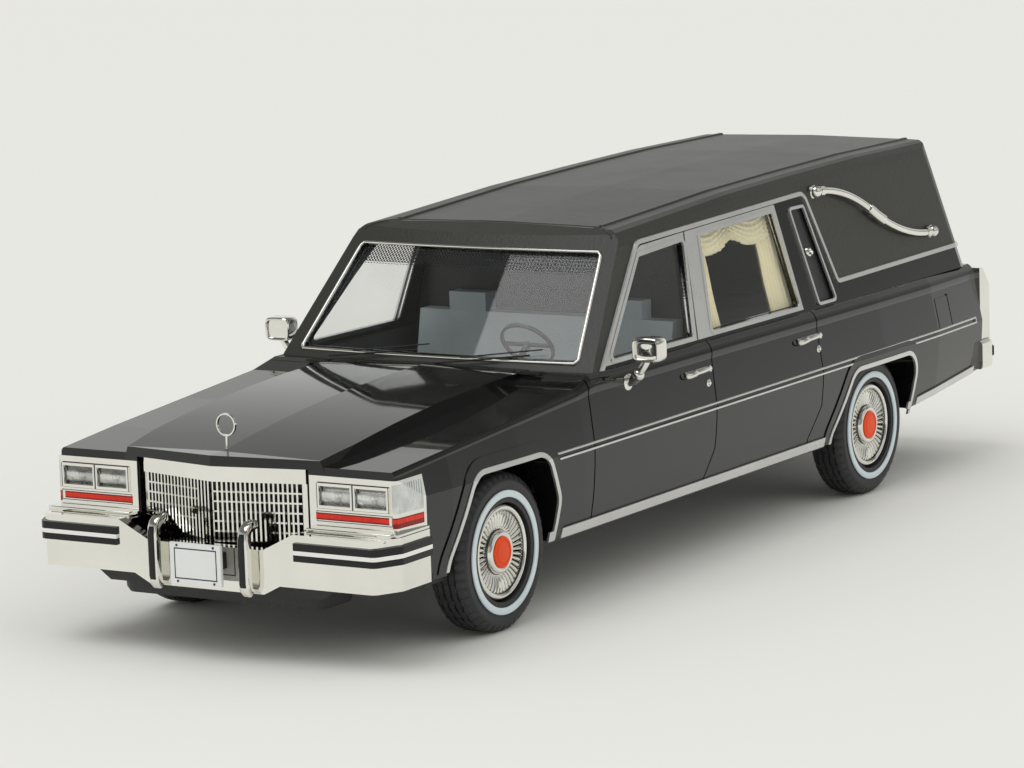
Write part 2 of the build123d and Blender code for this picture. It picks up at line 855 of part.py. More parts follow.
# Bright edge between the roof covering and the gloss band
with BuildPart() as roof_edge_bar:
    with BuildSketch(Plane.YZ):
        with BuildLine():
            FilletPolyline(*roof_edge_route, radius=(arch_radius, arch_radius, arch_radius / 2))
        trace(line_width=edge_trim_width)
    extrude(amount=reach, both=True)
with BuildPart() as roof_edge_trim:
    add(house_skin)
    add(roof_edge_bar.part, mode=Mode.INTERSECT)
roof_edge_trim.part.label = "roof_edge_trim"
export_step(roof_edge_trim.part, "parts/roof_edge_trim.step")

# Bright lips round the wheel openings, sill mouldings and the twin lines along the side
with BuildPart() as wheel_arch_lips:
    for points, axle_y in arches:
        lip = combine(arch_bar(points, arch_lip, well_inner_x, reach),
                      arch_bar(points, 0, well_inner_x, reach), mode=Mode.SUBTRACT)
        add(combine(combine(body_skin, lip, mode=Mode.INTERSECT),
                    block(-reach, reach, axle_y - 2 * well_radius, axle_y + 2 * well_radius,
                          arch_lip_low_z, belt_z), mode=Mode.INTERSECT))
wheel_arch_lips.part.label = "wheel_arch_lips"
export_step(wheel_arch_lips.part, "parts/wheel_arch_lips.step")

sill_front_y = front_arch[5][0]
sill_rear_y = rear_arch[1][0]
quarter_front_y = rear_arch[5][0]
quarter_slope = (tail_bottom_z - tail_rise_z) / (tail_y + overrun - rear_axle_y - tail_rise_start)


def quarter_bottom_z(y):
    return tail_rise_z + quarter_slope * (y - rear_axle_y - tail_rise_start)


quarter_end_y = tail_y - quarter_trim_end
sill_bars = (
    side_bar(rectangle_points(sill_front_y, sill_rear_y, sill_z, sill_z + sill_height)),
    side_bar(((quarter_front_y, quarter_bottom_z(quarter_front_y)),
              (quarter_end_y, quarter_bottom_z(quarter_end_y)),
              (quarter_end_y, quarter_bottom_z(quarter_end_y) + quarter_height),
              (quarter_front_y, quarter_bottom_z(quarter_front_y) + quarter_height))),
)
with BuildPart() as sill_mouldings:
    add(body_skin)
    add(combine(*sill_bars), mode=Mode.INTERSECT)
    add(wheel_arch_lips.part, mode=Mode.SUBTRACT)
    for bar in flare_bars:
        add(bar, mode=Mode.SUBTRACT)
sill_mouldings.part.label = "sill_mouldings"
export_step(sill_mouldings.part, "parts/sill_mouldings.step")

moulding_front_y = front_axle_y + moulding_start
moulding_rear_y = tail_y - quarter_trim_end
moulding_points = ((moulding_front_y, crease_z - moulding_height / 2),
                   (moulding_rear_y, crease_z + moulding_rise - moulding_height / 2),
                   (moulding_rear_y, crease_z + moulding_rise + moulding_height / 2),
                   (moulding_front_y, crease_z + moulding_height / 2))
with BuildPart() as side_mouldings:
    add(body_skin)
    add(side_bar(moulding_points), mode=Mode.INTERSECT)
    add(grown_side_bar(moulding_points, 0, -moulding_line), mode=Mode.SUBTRACT)
    for bar in flare_bars:
        add(bar, mode=Mode.SUBTRACT)
side_mouldings.part.label = "side_mouldings"
export_step(side_mouldings.part, "parts/side_mouldings.step")

# Lamp units: bright housings that wrap the corners, with lenses set into them
lamp_front_y = nose_y - lamp_proud


lamp_back_y = nose_y + lamp_wrap
lamp_plan = ((lamp_inner_x + touch, lamp_front_y), (lamp_corner_x, lamp_front_y),
             (lamp_side_x, lamp_back_y), (lamp_inner_x + touch, lamp_back_y))
lamp_profile = ((0, lamp_bottom_z), (lamp_side_x, lamp_bottom_z), (lamp_side_x, crease_z),
                (lamp_side_x - lamp_lean, lamp_top_z), (0, lamp_top_z))
lamp_body = combine(plan_bar(lamp_plan, lamp_bottom_z, lamp_top_z, (0, lamp_corner_radius, 0, 0)),
                    front_bar(lamp_profile, lamp_front_y, lamp_back_y), mode=Mode.INTERSECT)
turn_top_z = turn_bottom_z + turn_lamp_height
corner_x_from = lamp_corner_x - corner_lens_width
corner_y_to = lamp_back_y - lamp_border
lens_places = [lens_inner_x + number * lens_pitch for number in range(2)]


def lens_block(lens_x, grow, y_from, y_to):
    return block(lens_x - grow, lens_x + lens_width + grow, y_from, y_to,
                 lens_bottom_z - grow, lens_bottom_z + lens_height + grow)


def corner_pocket(z_from, z_to):
    return block(corner_x_from, reach, lamp_front_y - overrun, corner_y_to, z_from, z_to)


lens_pockets = [lens_block(lens_x, 0, lamp_front_y - overrun, lamp_front_y + lens_depth)
                for lens_x in lens_places]
bezels = [lens_block(lens_x, bezel_width, lamp_front_y - bezel_proud, lamp_front_y + touch)
          for lens_x in lens_places]
turn_pocket = block(turn_inner_x, corner_x_from - lamp_border, lamp_front_y - overrun,
                    lamp_front_y + lens_depth, turn_bottom_z, turn_top_z)
corner_clear = corner_pocket(turn_top_z + lamp_border, lamp_top_z - lamp_border)
corner_amber = corner_pocket(lamp_bottom_z + lamp_border, turn_top_z)
lamp_ledge = block(lamp_inner_x + touch, ledge_half_width, lamp_front_y - ledge_proud, lamp_back_y,
                   lamp_bottom_z - ledge_height, lamp_bottom_z)
lamp_ledge = combine(lamp_ledge, lower_body.part, mode=Mode.SUBTRACT)
with BuildPart() as lamp_housings:
    add(lamp_body)
    add(lamp_ledge)
    for bezel in bezels:
        add(bezel)
    for pocket in (*lens_pockets, turn_pocket, corner_clear, corner_amber):
        add(pocket, mode=Mode.SUBTRACT)
    mirror(about=Plane.YZ)
lamp_housings.part.label = "lamp_housings"
export_step(lamp_housings.part, "parts/lamp_housings.step")

with BuildPart() as headlamps:
    for pocket in lens_pockets:
        add(combine(pocket, lamp_body, mode=Mode.INTERSECT))
    mirror(about=Plane.YZ)
headlamps.part.label = "headlamps"
export_step(headlamps.part, "parts/headlamps.step")

with BuildPart() as cornering_lamps:
    add(combine(corner_clear, lamp_body, mode=Mode.INTERSECT))
    mirror(about=Plane.YZ)
cornering_lamps.part.label = "cornering_lamps"
export_step(cornering_lamps.part, "parts/cornering_lamps.step")

with BuildPart() as turn_lamps:
    for pocket in (turn_pocket, corner_amber):
        add(combine(pocket, lamp_body, mode=Mode.INTERSECT))
    mirror(about=Plane.YZ)
turn_lamps.part.label = "turn_lamps"
export_step(turn_lamps.part, "parts/turn_lamps.step")

# Grille: a V in plan, pierced by rows and columns, under its bright header
grille_front = nose_y - nose_vee + header_proud


def vee_slab(front, depth, half_width, z_from, z_to):
    side_y = front + nose_vee
    points = ((-half_width, side_y), (0, front), (half_width, side_y),
              (half_width, side_y + depth), (0, front + depth), (-half_width, side_y + depth))
    return plan_bar(points, z_from, z_to)


grille_opening = grille_half_width - grille_border - grille_bar / 2
grille_height = grille_top_z - grille_bottom_z - grille_border
grille_middle_z = grille_bottom_z + grille_border + grille_height / 2


def grille_cutter(count_x, width, count_z, height):
    # Bars along the car on both halves: count and size across, count and size upwards
    with BuildPart() as bars:
        with BuildSketch(Plane.XZ.offset(-nose_y - overrun)):
            for side in (-1, 1):
                with Locations((side * (grille_bar + grille_opening) / 2, grille_middle_z)):
                    with GridLocations(grille_opening / grille_columns, grille_height / grille_rows,
                                       count_x, count_z):
                        Rectangle(width, height)
        extrude(amount=nose_vee + 2 * overrun)
    return bars.part


def blade_layer(front, cutter):
    slab = vee_slab(front, grille_blade, grille_half_width, grille_bottom_z, grille_top_z)
    return combine(slab, cutter, mode=Mode.INTERSECT)


# Upright blades stand in front of the level ones, both held by the frame
with BuildPart() as grille:
    add(vee_slab(grille_front, grille_depth, grille_half_width, grille_bottom_z, grille_top_z))
    add(grille_cutter(1, grille_opening, 1, grille_height), mode=Mode.SUBTRACT)
    add(blade_layer(grille_front, grille_cutter(grille_columns - 1, grille_bar, 1,
                                                grille_height + grille_bar)))
    add(blade_layer(grille_front + grille_blade + touch,
                    grille_cutter(1, grille_opening + grille_bar, grille_rows - 1, grille_bar)))
    for side in (-1, 1):
        leg_x = side * (grille_half_width - grille_border / 2)
        add(block(leg_x - grille_border / 2, leg_x + grille_border / 2, grille_front + nose_vee,
                  nose_y + grille_depth, grille_bottom_z, grille_top_z))
grille.part.label = "grille"
export_step(grille.part, "parts/grille.step")

with BuildPart() as grille_header:
    add(vee_slab(grille_front - header_proud, grille_depth + header_proud, grille_half_width,
                 grille_top_z, header_top_z))
    add(plan_bar(vee_outline(grille_front, grille_half_width, nose_y + grille_depth),
                 grille_top_z, header_top_z))
grille_header.part.label = "grille_header"
export_step(grille_header.part, "parts/grille_header.step")


# Bumpers: a band that is swept round in plan, with a lowered middle at the front
def bumper_plan(front, half_width, wrap, shrink, sign):
    # The outer plan outline; sign is 1 at the front and -1 at the rear
    half = half_width - shrink
    face = front + sign * shrink
    return (
        (-half, face + sign * wrap), (-half, face + sign * bumper_corner),
        (-half + bumper_corner / 2, face), (half - bumper_corner / 2, face),
        (half, face + sign * bumper_corner), (half, face + sign * wrap),
    )


def bumper_band(front, half_width, wrap, thickness, proud, sign, z_from, z_to):
    outer = bumper_plan(front - sign * proud, half_width + proud, wrap + proud, 0, sign)
    inner = bumper_plan(front, half_width, wrap + overrun, thickness, sign)
    radii = (0, bumper_radius, bumper_radius, bumper_radius, bumper_radius, 0)
    return combine(plan_bar(outer, z_from, z_to, radii), plan_bar(inner, z_from, z_to, radii),
                   mode=Mode.SUBTRACT)


front_band = (bumper_front_y, bumper_half_width, bumper_wrap)
front_face = symmetric_points((
    (dip_half_width, bumper_bottom_z - bumper_drop), (dip_half_width + 2 * bumper_drop, bumper_bottom_z),
    (bumper_half_width + overrun, bumper_bottom_z), (bumper_half_width + overrun, bumper_top_z),
    (dip_half_width + 2 * bumper_dip, bumper_top_z), (dip_half_width, bumper_top_z - bumper_dip)))
with BuildPart() as front_bumper:
    add(bumper_band(*front_band, bumper_thickness, 0, 1, bumper_bottom_z - overrun, bumper_top_z))
    add(front_bar(front_face, front_y - overrun, front_axle_y), mode=Mode.INTERSECT)
    add(body, mode=Mode.SUBTRACT)
front_bumper.part.label = "front_bumper"
export_step(front_bumper.part, "parts/front_bumper.step")

strip_ends = block(-strip_inner_x, strip_inner_x, front_y - overrun, front_axle_y, 0, belt_z)
with BuildPart() as front_bumper_strips:
    add(combine(bumper_band(*front_band, bumper_thickness, strip_proud, 1, strip_bottom_z, strip_top_z),
                bumper_band(*front_band, bumper_thickness, 0, 1, strip_bottom_z, strip_top_z),
                mode=Mode.SUBTRACT))
    add(strip_ends, mode=Mode.SUBTRACT)
front_bumper_strips.part.label = "front_bumper_strips"
export_step(front_bumper_strips.part, "parts/front_bumper_strips.step")

overrider_points = (
    (bumper_front_y, overrider_bottom_z), (front_y + overrider_rake, overrider_bottom_z),
    (front_y + pad_thickness, overrider_bottom_z + overrider_rake * 2),
    (front_y + pad_thickness, overrider_top_z - overrider_rake * 2),
    (front_y + overrider_rake * 2, overrider_top_z), (bumper_front_y, overrider_top_z),
)
with BuildPart() as overriders:
    add(side_bar(overrider_points, 0, overrider_x - overrider_width / 2, overrider_x + overrider_width / 2))
    mirror(about=Plane.YZ)
overriders.part.label = "overriders"
export_step(overriders.part, "parts/overriders.step")

with BuildPart() as overrider_pads:
    add(block(overrider_x - overrider_width / 2, overrider_x + overrider_width / 2, front_y,
              front_y + pad_thickness, overrider_bottom_z + overrider_rake * 2,
              overrider_top_z - overrider_rake * 2))
    mirror(about=Plane.YZ)
overrider_pads.part.label = "overrider_pads"
export_step(overrider_pads.part, "parts/overrider_pads.step")

with BuildPart() as front_plate:
    add(block(-plate_half_width, plate_half_width, front_y + plate_setback,
              front_y + plate_setback + plate_thickness, number_plate_z,
              number_plate_z + number_plate_height))
front_plate.part.label = "front_plate"
export_step(front_plate.part, "parts/front_plate.step")

with BuildPart() as plate_bracket:
    add(block(-bracket_half_width, bracket_half_width, front_y + plate_setback + plate_thickness,
              bumper_front_y, number_plate_z + bracket_margin,
              number_plate_z + number_plate_height - bracket_margin))
plate_bracket.part.label = "plate_bracket"
export_step(plate_bracket.part, "parts/plate_bracket.step")

with BuildPart() as front_valance:
    add(front_bar(symmetric_points(((valance_half_width - nose_bottom_length / 3, plate_z - touch),
                                    (valance_half_width, nose_bottom_z))),
                  bumper_front_y + bumper_thickness + plate_clearance,
                  nose_y + nose_bottom_length))
front_valance.part.label = "front_valance"
export_step(front_valance.part, "parts/front_valance.step")

# Rear end
rear_band = (rear_y, bumper_half_width, rear_bumper_wrap)
with BuildPart() as rear_bumper:
    add(bumper_band(*rear_band, bumper_thickness, 0, -1, rear_bumper_bottom_z, rear_bumper_top_z))
    add(body, mode=Mode.SUBTRACT)
rear_bumper.part.label = "rear_bumper"
export_step(rear_bumper.part, "parts/rear_bumper.step")

tail_column_back_y = rear_y - tail_column_setback
with BuildPart() as tail_columns:
    add(side_bar(((tail_y, rear_bumper_top_z), (tail_column_back_y, rear_bumper_top_z),
                  (tail_column_back_y, tail_column_shoulder_z), (tail_y + tail_cap_depth, tail_column_top_z),
                  (tail_y, tail_column_top_z)), 0, tail_column_inner_x, tail_column_outer_x))
    add(block(tail_column_inner_x + lamp_border, tail_column_outer_x - lamp_border,
              tail_column_back_y - lens_depth, rear_y, tail_lamp_z, tail_lamp_top_z), mode=Mode.SUBTRACT)
    mirror(about=Plane.YZ)
tail_columns.part.label = "tail_lamp_housings"
export_step(tail_columns.part, "parts/tail_lamp_housings.step")

with BuildPart() as tail_lamps:
    add(block(tail_column_inner_x + lamp_border, tail_column_outer_x - lamp_border,
              tail_column_back_y - lens_depth, tail_column_back_y + lens_recess / 2,
              tail_lamp_z, tail_lamp_top_z))
    mirror(about=Plane.YZ)
tail_lamps.part.label = "tail_lamps"
export_step(tail_lamps.part, "parts/tail_lamps.step")

with BuildPart() as rear_plate:
    add(block(-plate_half_width, plate_half_width, tail_y, tail_y + plate_thickness,
              rear_plate_z, rear_plate_z + number_plate_height))
rear_plate.part.label = "rear_plate"
export_step(rear_plate.part, "parts/rear_plate.step")

with BuildPart() as tailgate_handle:
    add(block(tailgate_handle_x, tailgate_handle_x + handle_length / 2, tail_y, tail_y + handle_proud,
              tailgate_handle_z, tailgate_handle_z + handle_height))
tailgate_handle.part.label = "tailgate_handle"
export_step(tailgate_handle.part, "parts/tailgate_handle.step")

# Base plate with its axle tunnels, chassis rails and the holes for the plinth screws
screw_places = ((0, screw_front_y), (0, screw_rear_y))
with BuildPart() as base_plate:
    add(block(-pocket_half_width + plate_clearance, pocket_half_width - plate_clearance,
              nose_y + nose_bottom_length + plate_clearance, rear_axle_y + plate_rear_reach,
              plate_z, plate_top_z))
    for rail in (-rail_x, rail_x):
        add(block(rail - rail_width / 2, rail + rail_width / 2, -rail_reach, rail_reach,
                  plate_z - rail_depth, plate_top_z))
    for member_y in (-rail_reach, rail_reach):
        add(block(-rail_x, rail_x, member_y - rail_width / 2, member_y + rail_width / 2,
                  plate_z - rail_depth, plate_top_z))
    for axle_y in (front_axle_y, rear_axle_y):
        add(block(well_inner_x - plate_clearance * 4, reach, axle_y - well_radius - plate_clearance,
                  axle_y + well_radius + plate_clearance, 0, belt_z), mode=Mode.SUBTRACT)
        add(block(-reach, -well_inner_x + plate_clearance * 4, axle_y - well_radius - plate_clearance,
                  axle_y + well_radius + plate_clearance, 0, belt_z), mode=Mode.SUBTRACT)
        add(block(-tunnel_half_width, tunnel_half_width, axle_y - tunnel_half_length,
                  axle_y + tunnel_half_length, tunnel_bottom_z, tunnel_top_z))
        with BuildSketch(Plane.YZ.offset(-reach)):
            with Locations((axle_y, wheel_z)):
                Circle(axle_radius + axle_clearance)
        extrude(amount=2 * reach, mode=Mode.SUBTRACT)
    with Locations(*[(x, y, plate_top_z) for x, y in screw_places]):
        Cylinder(screw_hole_radius, reach, mode=Mode.SUBTRACT)
base_plate.part.label = "base_plate"
export_step(base_plate.part, "parts/base_plate.step")


# Wheels on their metal axle rods
def wheel_face_plane(side, axle_y, x):
    return Plane(origin=(side * x, axle_y, wheel_z), x_dir=(0, 1, 0), z_dir=(side, 0, 0))


def profile_plane(x, axle_y, outward):
    # Half sections of the turned pieces: outwards, and up from the axle
    return Plane(origin=(x, axle_y, wheel_z), x_dir=(outward, 0, 0), z_dir=(0, -outward, 0))


def tyre(side, axle_y):
    half = tyre_width / 2
    middle = tyre_outer_x - half
    side_radius = tyre_radius - tyre_shoulder
    with BuildPart() as ring:
        with BuildSketch(profile_plane(side * middle, axle_y, 1)):
            with BuildLine():
                Polyline((-half, bead_radius), (half, bead_radius), (half, side_radius),
                         (half - tyre_shoulder_width, tyre_radius),
                         (tyre_shoulder_width - half, tyre_radius), (-half, side_radius),
                         (-half, bead_radius))
            make_face()
        revolve(axis=Axis((0, axle_y, wheel_z), (1, 0, 0)))
    return ring.part


def whitewall(side, axle_y):
    # A thin ring standing on the sidewall
    with BuildPart() as ring:
        with BuildSketch(wheel_face_plane(side, axle_y, tyre_outer_x)):
            Circle(whitewall_outer_radius)
            Circle(whitewall_inner_radius, mode=Mode.SUBTRACT)
        extrude(amount=whitewall_depth)
    return ring.part


def wheel_disc(side, axle_y):
    # The wheel inside the tyre, its rim flush with the cover's seat
    with BuildPart() as disc:
        with BuildSketch(wheel_face_plane(side, axle_y, tyre_outer_x - cover_seat)):
            Circle(bead_radius)
        extrude(amount=-rim_depth)
    return disc.part


def wheel_cover(side, axle_y):
    # A dished bright cover with a raised hub
    seat = tyre_outer_x - cover_seat
    face = tyre_outer_x - cover_inset - seat
    with BuildPart() as cover:
        with BuildSketch(profile_plane(side * seat, axle_y, side)):
            with BuildLine():
                Polyline((0, 0), (0, cover_radius), (face, cover_radius - cover_lip),
                         (face, cover_radius - cover_rim), (face - cover_dish, hub_radius),
                         (face - cover_dish + hub_height, hub_radius), (face - cover_dish + hub_height, 0),
                         (0, 0))
            make_face()
        revolve(axis=Axis((0, axle_y, wheel_z), (1, 0, 0)))
    return cover.part


def hub_badge(side, axle_y):
    hub_x = tyre_outer_x - cover_inset - cover_dish + hub_height
    with BuildPart() as badge:
        with BuildSketch(wheel_face_plane(side, axle_y, hub_x)):
            Circle(badge_radius)
        extrude(amount=badge_height)
    return badge.part


for end, axle_y in (("front", front_axle_y), ("rear", rear_axle_y)):
    with BuildPart() as axle:
        with BuildSketch(Plane.YZ.offset(-tyre_outer_x + cover_seat + rim_depth)):
            with Locations((axle_y, wheel_z)):
                Circle(axle_radius)
        extrude(amount=2 * (tyre_outer_x - cover_seat - rim_depth))
        for side in (-1, 1):
            add(wheel_disc(side, axle_y))
    export(axle.part, f"{end}_axle")
    for maker, name in ((tyre, "tyres"), (whitewall, "whitewalls"), (wheel_cover, "wheel_covers"),
                        (hub_badge, "hub_discs")):
        export(combine(maker(-1, axle_y), maker(1, axle_y)), f"{end}_{name}")

# Interior
tray_half_width = cavity_half_width - plate_clearance
tray_front_y = cabin_front_y + plate_clearance
tray_rear_y = partition_y - partition_thickness
with BuildPart() as cabin_tray:
    add(block(-tray_half_width, tray_half_width, tray_front_y, tray_rear_y, plate_top_z,
              plate_top_z + floor_thickness))
    add(block(-tray_half_width, card_thickness - tray_half_width, tray_front_y, tray_rear_y,
              plate_top_z, belt_z - plate_clearance))
    add(block(tray_half_width - card_thickness, tray_half_width, tray_front_y, tray_rear_y,
              plate_top_z, belt_z - plate_clearance))
cabin_tray.part.label = "cabin_tray"
export_step(cabin_tray.part, "parts/cabin_tray.step")

partition_half_width = cavity_half_width - plate_clearance * 2
partition_lean = glass_lean * (partition_top_z - belt_z)
with BuildPart() as partition:
    add(block(-tray_half_width, tray_half_width, partition_y - partition_thickness, partition_y - touch,
              plate_top_z, belt_z))
    add(front_bar(symmetric_points(((partition_half_width, belt_z),
                                    (partition_half_width - partition_lean, partition_top_z))),
                  partition_y - partition_thickness, partition_y - touch))
partition.part.label = "partition"
export_step(partition.part, "parts/partition.step")

card_half_width = tray_half_width - card_thickness
with BuildPart() as dashboard:
    add(side_bar(((tray_front_y, dash_bottom_z), (cabin_front_y + dash_depth, dash_bottom_z),
                  (cabin_front_y + dash_depth + dash_overhang, dash_face_z),
                  (cabin_front_y + dash_depth, dash_top_z), (tray_front_y, dash_top_z)),
                 0, -card_half_width, card_half_width))
dashboard.part.label = "dashboard"
export_step(dashboard.part, "parts/dashboard.step")

column_tilt = Vector(0, cos(radians(column_angle)), sin(radians(column_angle)))
column_start = Vector(wheel_column_x, cabin_front_y + dash_depth + (1 - column_share) * dash_overhang,
                      dash_face_z + column_share * (dash_top_z - dash_face_z))
wheel_plane = Plane(origin=column_start + column_tilt * column_length, x_dir=(1, 0, 0), z_dir=column_tilt)
with BuildPart() as steering_wheel:
    with BuildSketch(Plane(origin=column_start - column_tilt * touch, x_dir=(1, 0, 0), z_dir=column_tilt)):
        Circle(column_radius)
    extrude(amount=column_length + steering_rim)
    with BuildSketch(wheel_plane):
        Circle(steering_radius)
        Circle(steering_radius - steering_rim, mode=Mode.SUBTRACT)
        Rectangle(2 * steering_radius - steering_rim, steering_rim)
    extrude(amount=steering_rim)
    add(dashboard.part, mode=Mode.SUBTRACT)
steering_wheel.part.label = "steering_wheel"
export_step(steering_wheel.part, "parts/steering_wheel.step")

seat_floor_z = plate_top_z + floor_thickness
back_front_y = seat_back_y - back_thickness
seat_points = (
    (seat_front_y, seat_floor_z), (seat_front_y, cushion_z - cushion_nose),
    (seat_front_y + cushion_nose, cushion_z),
    (back_front_y, cushion_z - cushion_nose / 2), (back_front_y + back_rake, seat_top_z),
    (seat_back_y + back_rake, seat_top_z), (seat_back_y, seat_floor_z),
)
with BuildPart() as bench_seat:
    add(side_bar(seat_points, 0, -seat_half_width, seat_half_width))
bench_seat.part.label = "bench_seat"
export_step(bench_seat.part, "parts/bench_seat.step")

with BuildPart() as headrests:
    add(block(headrest_x - headrest_half_width, headrest_x + headrest_half_width,
              back_front_y + back_rake, seat_back_y + back_rake,
              seat_top_z, seat_top_z + headrest_height))
    mirror(about=Plane.YZ)
headrests.part.label = "headrests"
export_step(headrests.part, "parts/headrests.step")

with BuildPart() as load_deck:
    add(block(-tray_half_width, tray_half_width, partition_y + touch, load_rear_y - plate_clearance,
              deck_z, deck_z + floor_thickness))
load_deck.part.label = "load_deck"
export_step(load_deck.part, "parts/load_deck.step")

# Window drapes: a scalloped valance and two side curtains behind each rear door window
drape_skin = combine(house_form(-drape_inset), house_form(-drape_inset - drape_thickness), mode=Mode.SUBTRACT)
drape_front_y = partition_y + plate_clearance
drape_rear_y = rear_window[3][0] + drape_margin
drape_points = ((drape_front_y, belt_z), (drape_front_y, rear_window[1][1] + drape_margin),
                (drape_rear_y, rear_window[2][1] + drape_margin), (drape_rear_y, belt_z))
gap_front_y = drape_front_y + curtain_front
gap_rear_y = drape_rear_y - curtain_rear
scallop_y = (drape_front_y + drape_rear_y) / 2
gap_points = (
    (gap_front_y, belt_z - touch), (gap_front_y + curtain_lean, valance_z),
    (scallop_y - scallop_half, valance_z - scallop_drop / 2), (scallop_y, valance_z + scallop_drop),
    (scallop_y + scallop_half, valance_z - scallop_drop / 2), (gap_rear_y, valance_z),
    (gap_rear_y + curtain_lean, belt_z - touch),
)
with BuildPart() as window_drapes:
    add(drape_skin)
    add(side_bar(drape_points), mode=Mode.INTERSECT)
    add(side_bar(gap_points), mode=Mode.SUBTRACT)
window_drapes.part.label = "window_drapes"
export_step(window_drapes.part, "parts/window_drapes.step")

# Landau bars: two tangent arcs between end bosses, standing off the roof side
lean_angle = atan(glass_lean)
side_plane = Plane(origin=(house_half_width, 0, belt_z), x_dir=(0, 1, 0),
                   z_dir=(cos(lean_angle), 0, sin(lean_angle)))


def up_side(z):
    return (z - belt_z) / cos(lean_angle)


bar_start = (landau_front_y, up_side(landau_front_z))
bar_middle = ((landau_front_y + landau_rear_y) / 2,
              up_side((landau_front_z + landau_rear_z) / 2 - landau_middle_drop))
bar_end = (landau_rear_y, up_side(landau_rear_z))
with BuildPart() as landau_bars:
    with BuildSketch(side_plane):
        with BuildLine():
            TangentArc(bar_start, bar_middle, tangent=(1, landau_start_slope))
            TangentArc(bar_end, bar_middle, tangent=(-1, -landau_start_slope))
        trace(line_width=landau_width)
    extrude(amount=landau_standoff + landau_thickness)
    with BuildSketch(side_plane):
        with Locations(bar_start, bar_end):
            Circle(landau_boss_radius)
    extrude(amount=landau_standoff + landau_thickness + landau_boss_proud)
    with BuildSketch(side_plane):
        with Locations(bar_middle):
            Rectangle(landau_boss_radius * 2, landau_width + landau_boss_proud, rotation=-landau_collar_angle)
    extrude(amount=landau_standoff + landau_thickness + landau_boss_proud)
    mirror(about=Plane.YZ)
landau_bars.part.label = "landau_bars"
export_step(landau_bars.part, "parts/landau_bars.step")

# Door mirrors, handles, wipers, ornament and inside mirror
mirror_base_x = side_x(mirror_base_z)
with BuildPart() as door_mirrors:
    with BuildSketch(Plane.YZ.offset(mirror_base_x - shoulder_inset)):
        with Locations((mirror_y, mirror_base_z)):
            Circle(mirror_base_radius)
    extrude(amount=mirror_base_length + shoulder_inset)
    add(block(mirror_base_x + mirror_base_length - mirror_stem_depth, mirror_base_x + mirror_base_length,
              mirror_y - mirror_stem, mirror_y + mirror_stem, mirror_base_z, mirror_head_z))
    add(front_bar(rectangle_points(mirror_head_x, mirror_head_x + mirror_head_width, mirror_head_z,
                                   mirror_head_z + mirror_head_height),
                  mirror_y - mirror_head_depth, mirror_y + mirror_head_depth / 2, mirror_head_radius))
    add(body, mode=Mode.SUBTRACT)
    mirror(about=Plane.YZ)
door_mirrors.part.label = "door_mirrors"
export_step(door_mirrors.part, "parts/door_mirrors.step")

with BuildPart() as door_handles:
    for handle_y in (front_handle_y, rear_handle_y):
        grip = block(side_x(handle_z) - shoulder_inset, side_x(handle_z) + handle_proud, handle_y,
                     handle_y + handle_length, handle_z - handle_height / 2, handle_z + handle_height / 2)
        add(combine(grip, body, mode=Mode.SUBTRACT))
    mirror(about=Plane.YZ)
door_handles.part.label = "door_handles"
export_step(door_handles.part, "parts/door_handles.step")

with BuildPart() as hood_ornament:
    with BuildSketch(Plane.XY.offset(hood_nose_z - groove_width)):
        with Locations((0, ornament_y)):
            Circle(ornament_stem_radius)
    extrude(amount=ornament_stem_height)
    with BuildSketch(Plane.XZ.offset(-ornament_y - ornament_stem_radius)):
        with Locations((0, hood_nose_z + ornament_stem_height + ornament_radius - ornament_stem_radius)):
            Circle(ornament_radius)
            Circle(ornament_radius - ornament_stem_radius, mode=Mode.SUBTRACT)
    extrude(amount=2 * ornament_stem_radius)
    add(hood_nose, mode=Mode.SUBTRACT)
hood_ornament.part.label = "hood_ornament"
export_step(hood_ornament.part, "parts/hood_ornament.step")

with BuildPart() as inside_mirror:
    add(block(-inside_mirror_half_width, inside_mirror_half_width, inside_mirror_y,
              inside_mirror_y + inside_mirror_depth, inside_mirror_z, inside_mirror_z + inside_mirror_height))
    add(block(-mirror_stem, mirror_stem, inside_mirror_y, inside_mirror_y + inside_mirror_depth,
              inside_mirror_z + inside_mirror_height / 2, roof_top_z))
    add(house_form(-house_wall), mode=Mode.INTERSECT)
inside_mirror.part.label = "inside_mirror"
export_step(inside_mirror.part, "parts/inside_mirror.step")
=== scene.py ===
import json
import math

import bpy
import bmesh
from mathutils import Matrix, Vector
from mathutils.geometry import tessellate_polygon


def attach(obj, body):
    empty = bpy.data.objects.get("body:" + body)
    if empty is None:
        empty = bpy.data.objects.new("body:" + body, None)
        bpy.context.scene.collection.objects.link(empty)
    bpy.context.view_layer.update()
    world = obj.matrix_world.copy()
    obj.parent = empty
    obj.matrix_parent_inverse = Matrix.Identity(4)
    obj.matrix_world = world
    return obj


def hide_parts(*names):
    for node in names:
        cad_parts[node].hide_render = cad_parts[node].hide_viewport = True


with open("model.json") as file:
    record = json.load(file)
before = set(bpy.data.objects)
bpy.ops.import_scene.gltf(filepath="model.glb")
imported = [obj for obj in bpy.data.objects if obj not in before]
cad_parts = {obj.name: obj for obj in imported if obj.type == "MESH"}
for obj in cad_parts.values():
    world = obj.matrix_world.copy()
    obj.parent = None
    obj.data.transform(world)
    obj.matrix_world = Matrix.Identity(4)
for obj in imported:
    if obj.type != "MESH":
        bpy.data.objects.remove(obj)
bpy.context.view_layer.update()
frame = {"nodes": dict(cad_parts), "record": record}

bl_info = {
    "name": "Scale model hearse dressing",
    "version": (1, 0, 0),
    "blender": (4, 5, 0),
    "location": "View3D > Sidebar > Hearse",
    "description": "Finishes and fine pieces for a scale model hearse on its CAD frame",
    "category": "Object",
}

MM = 0.001

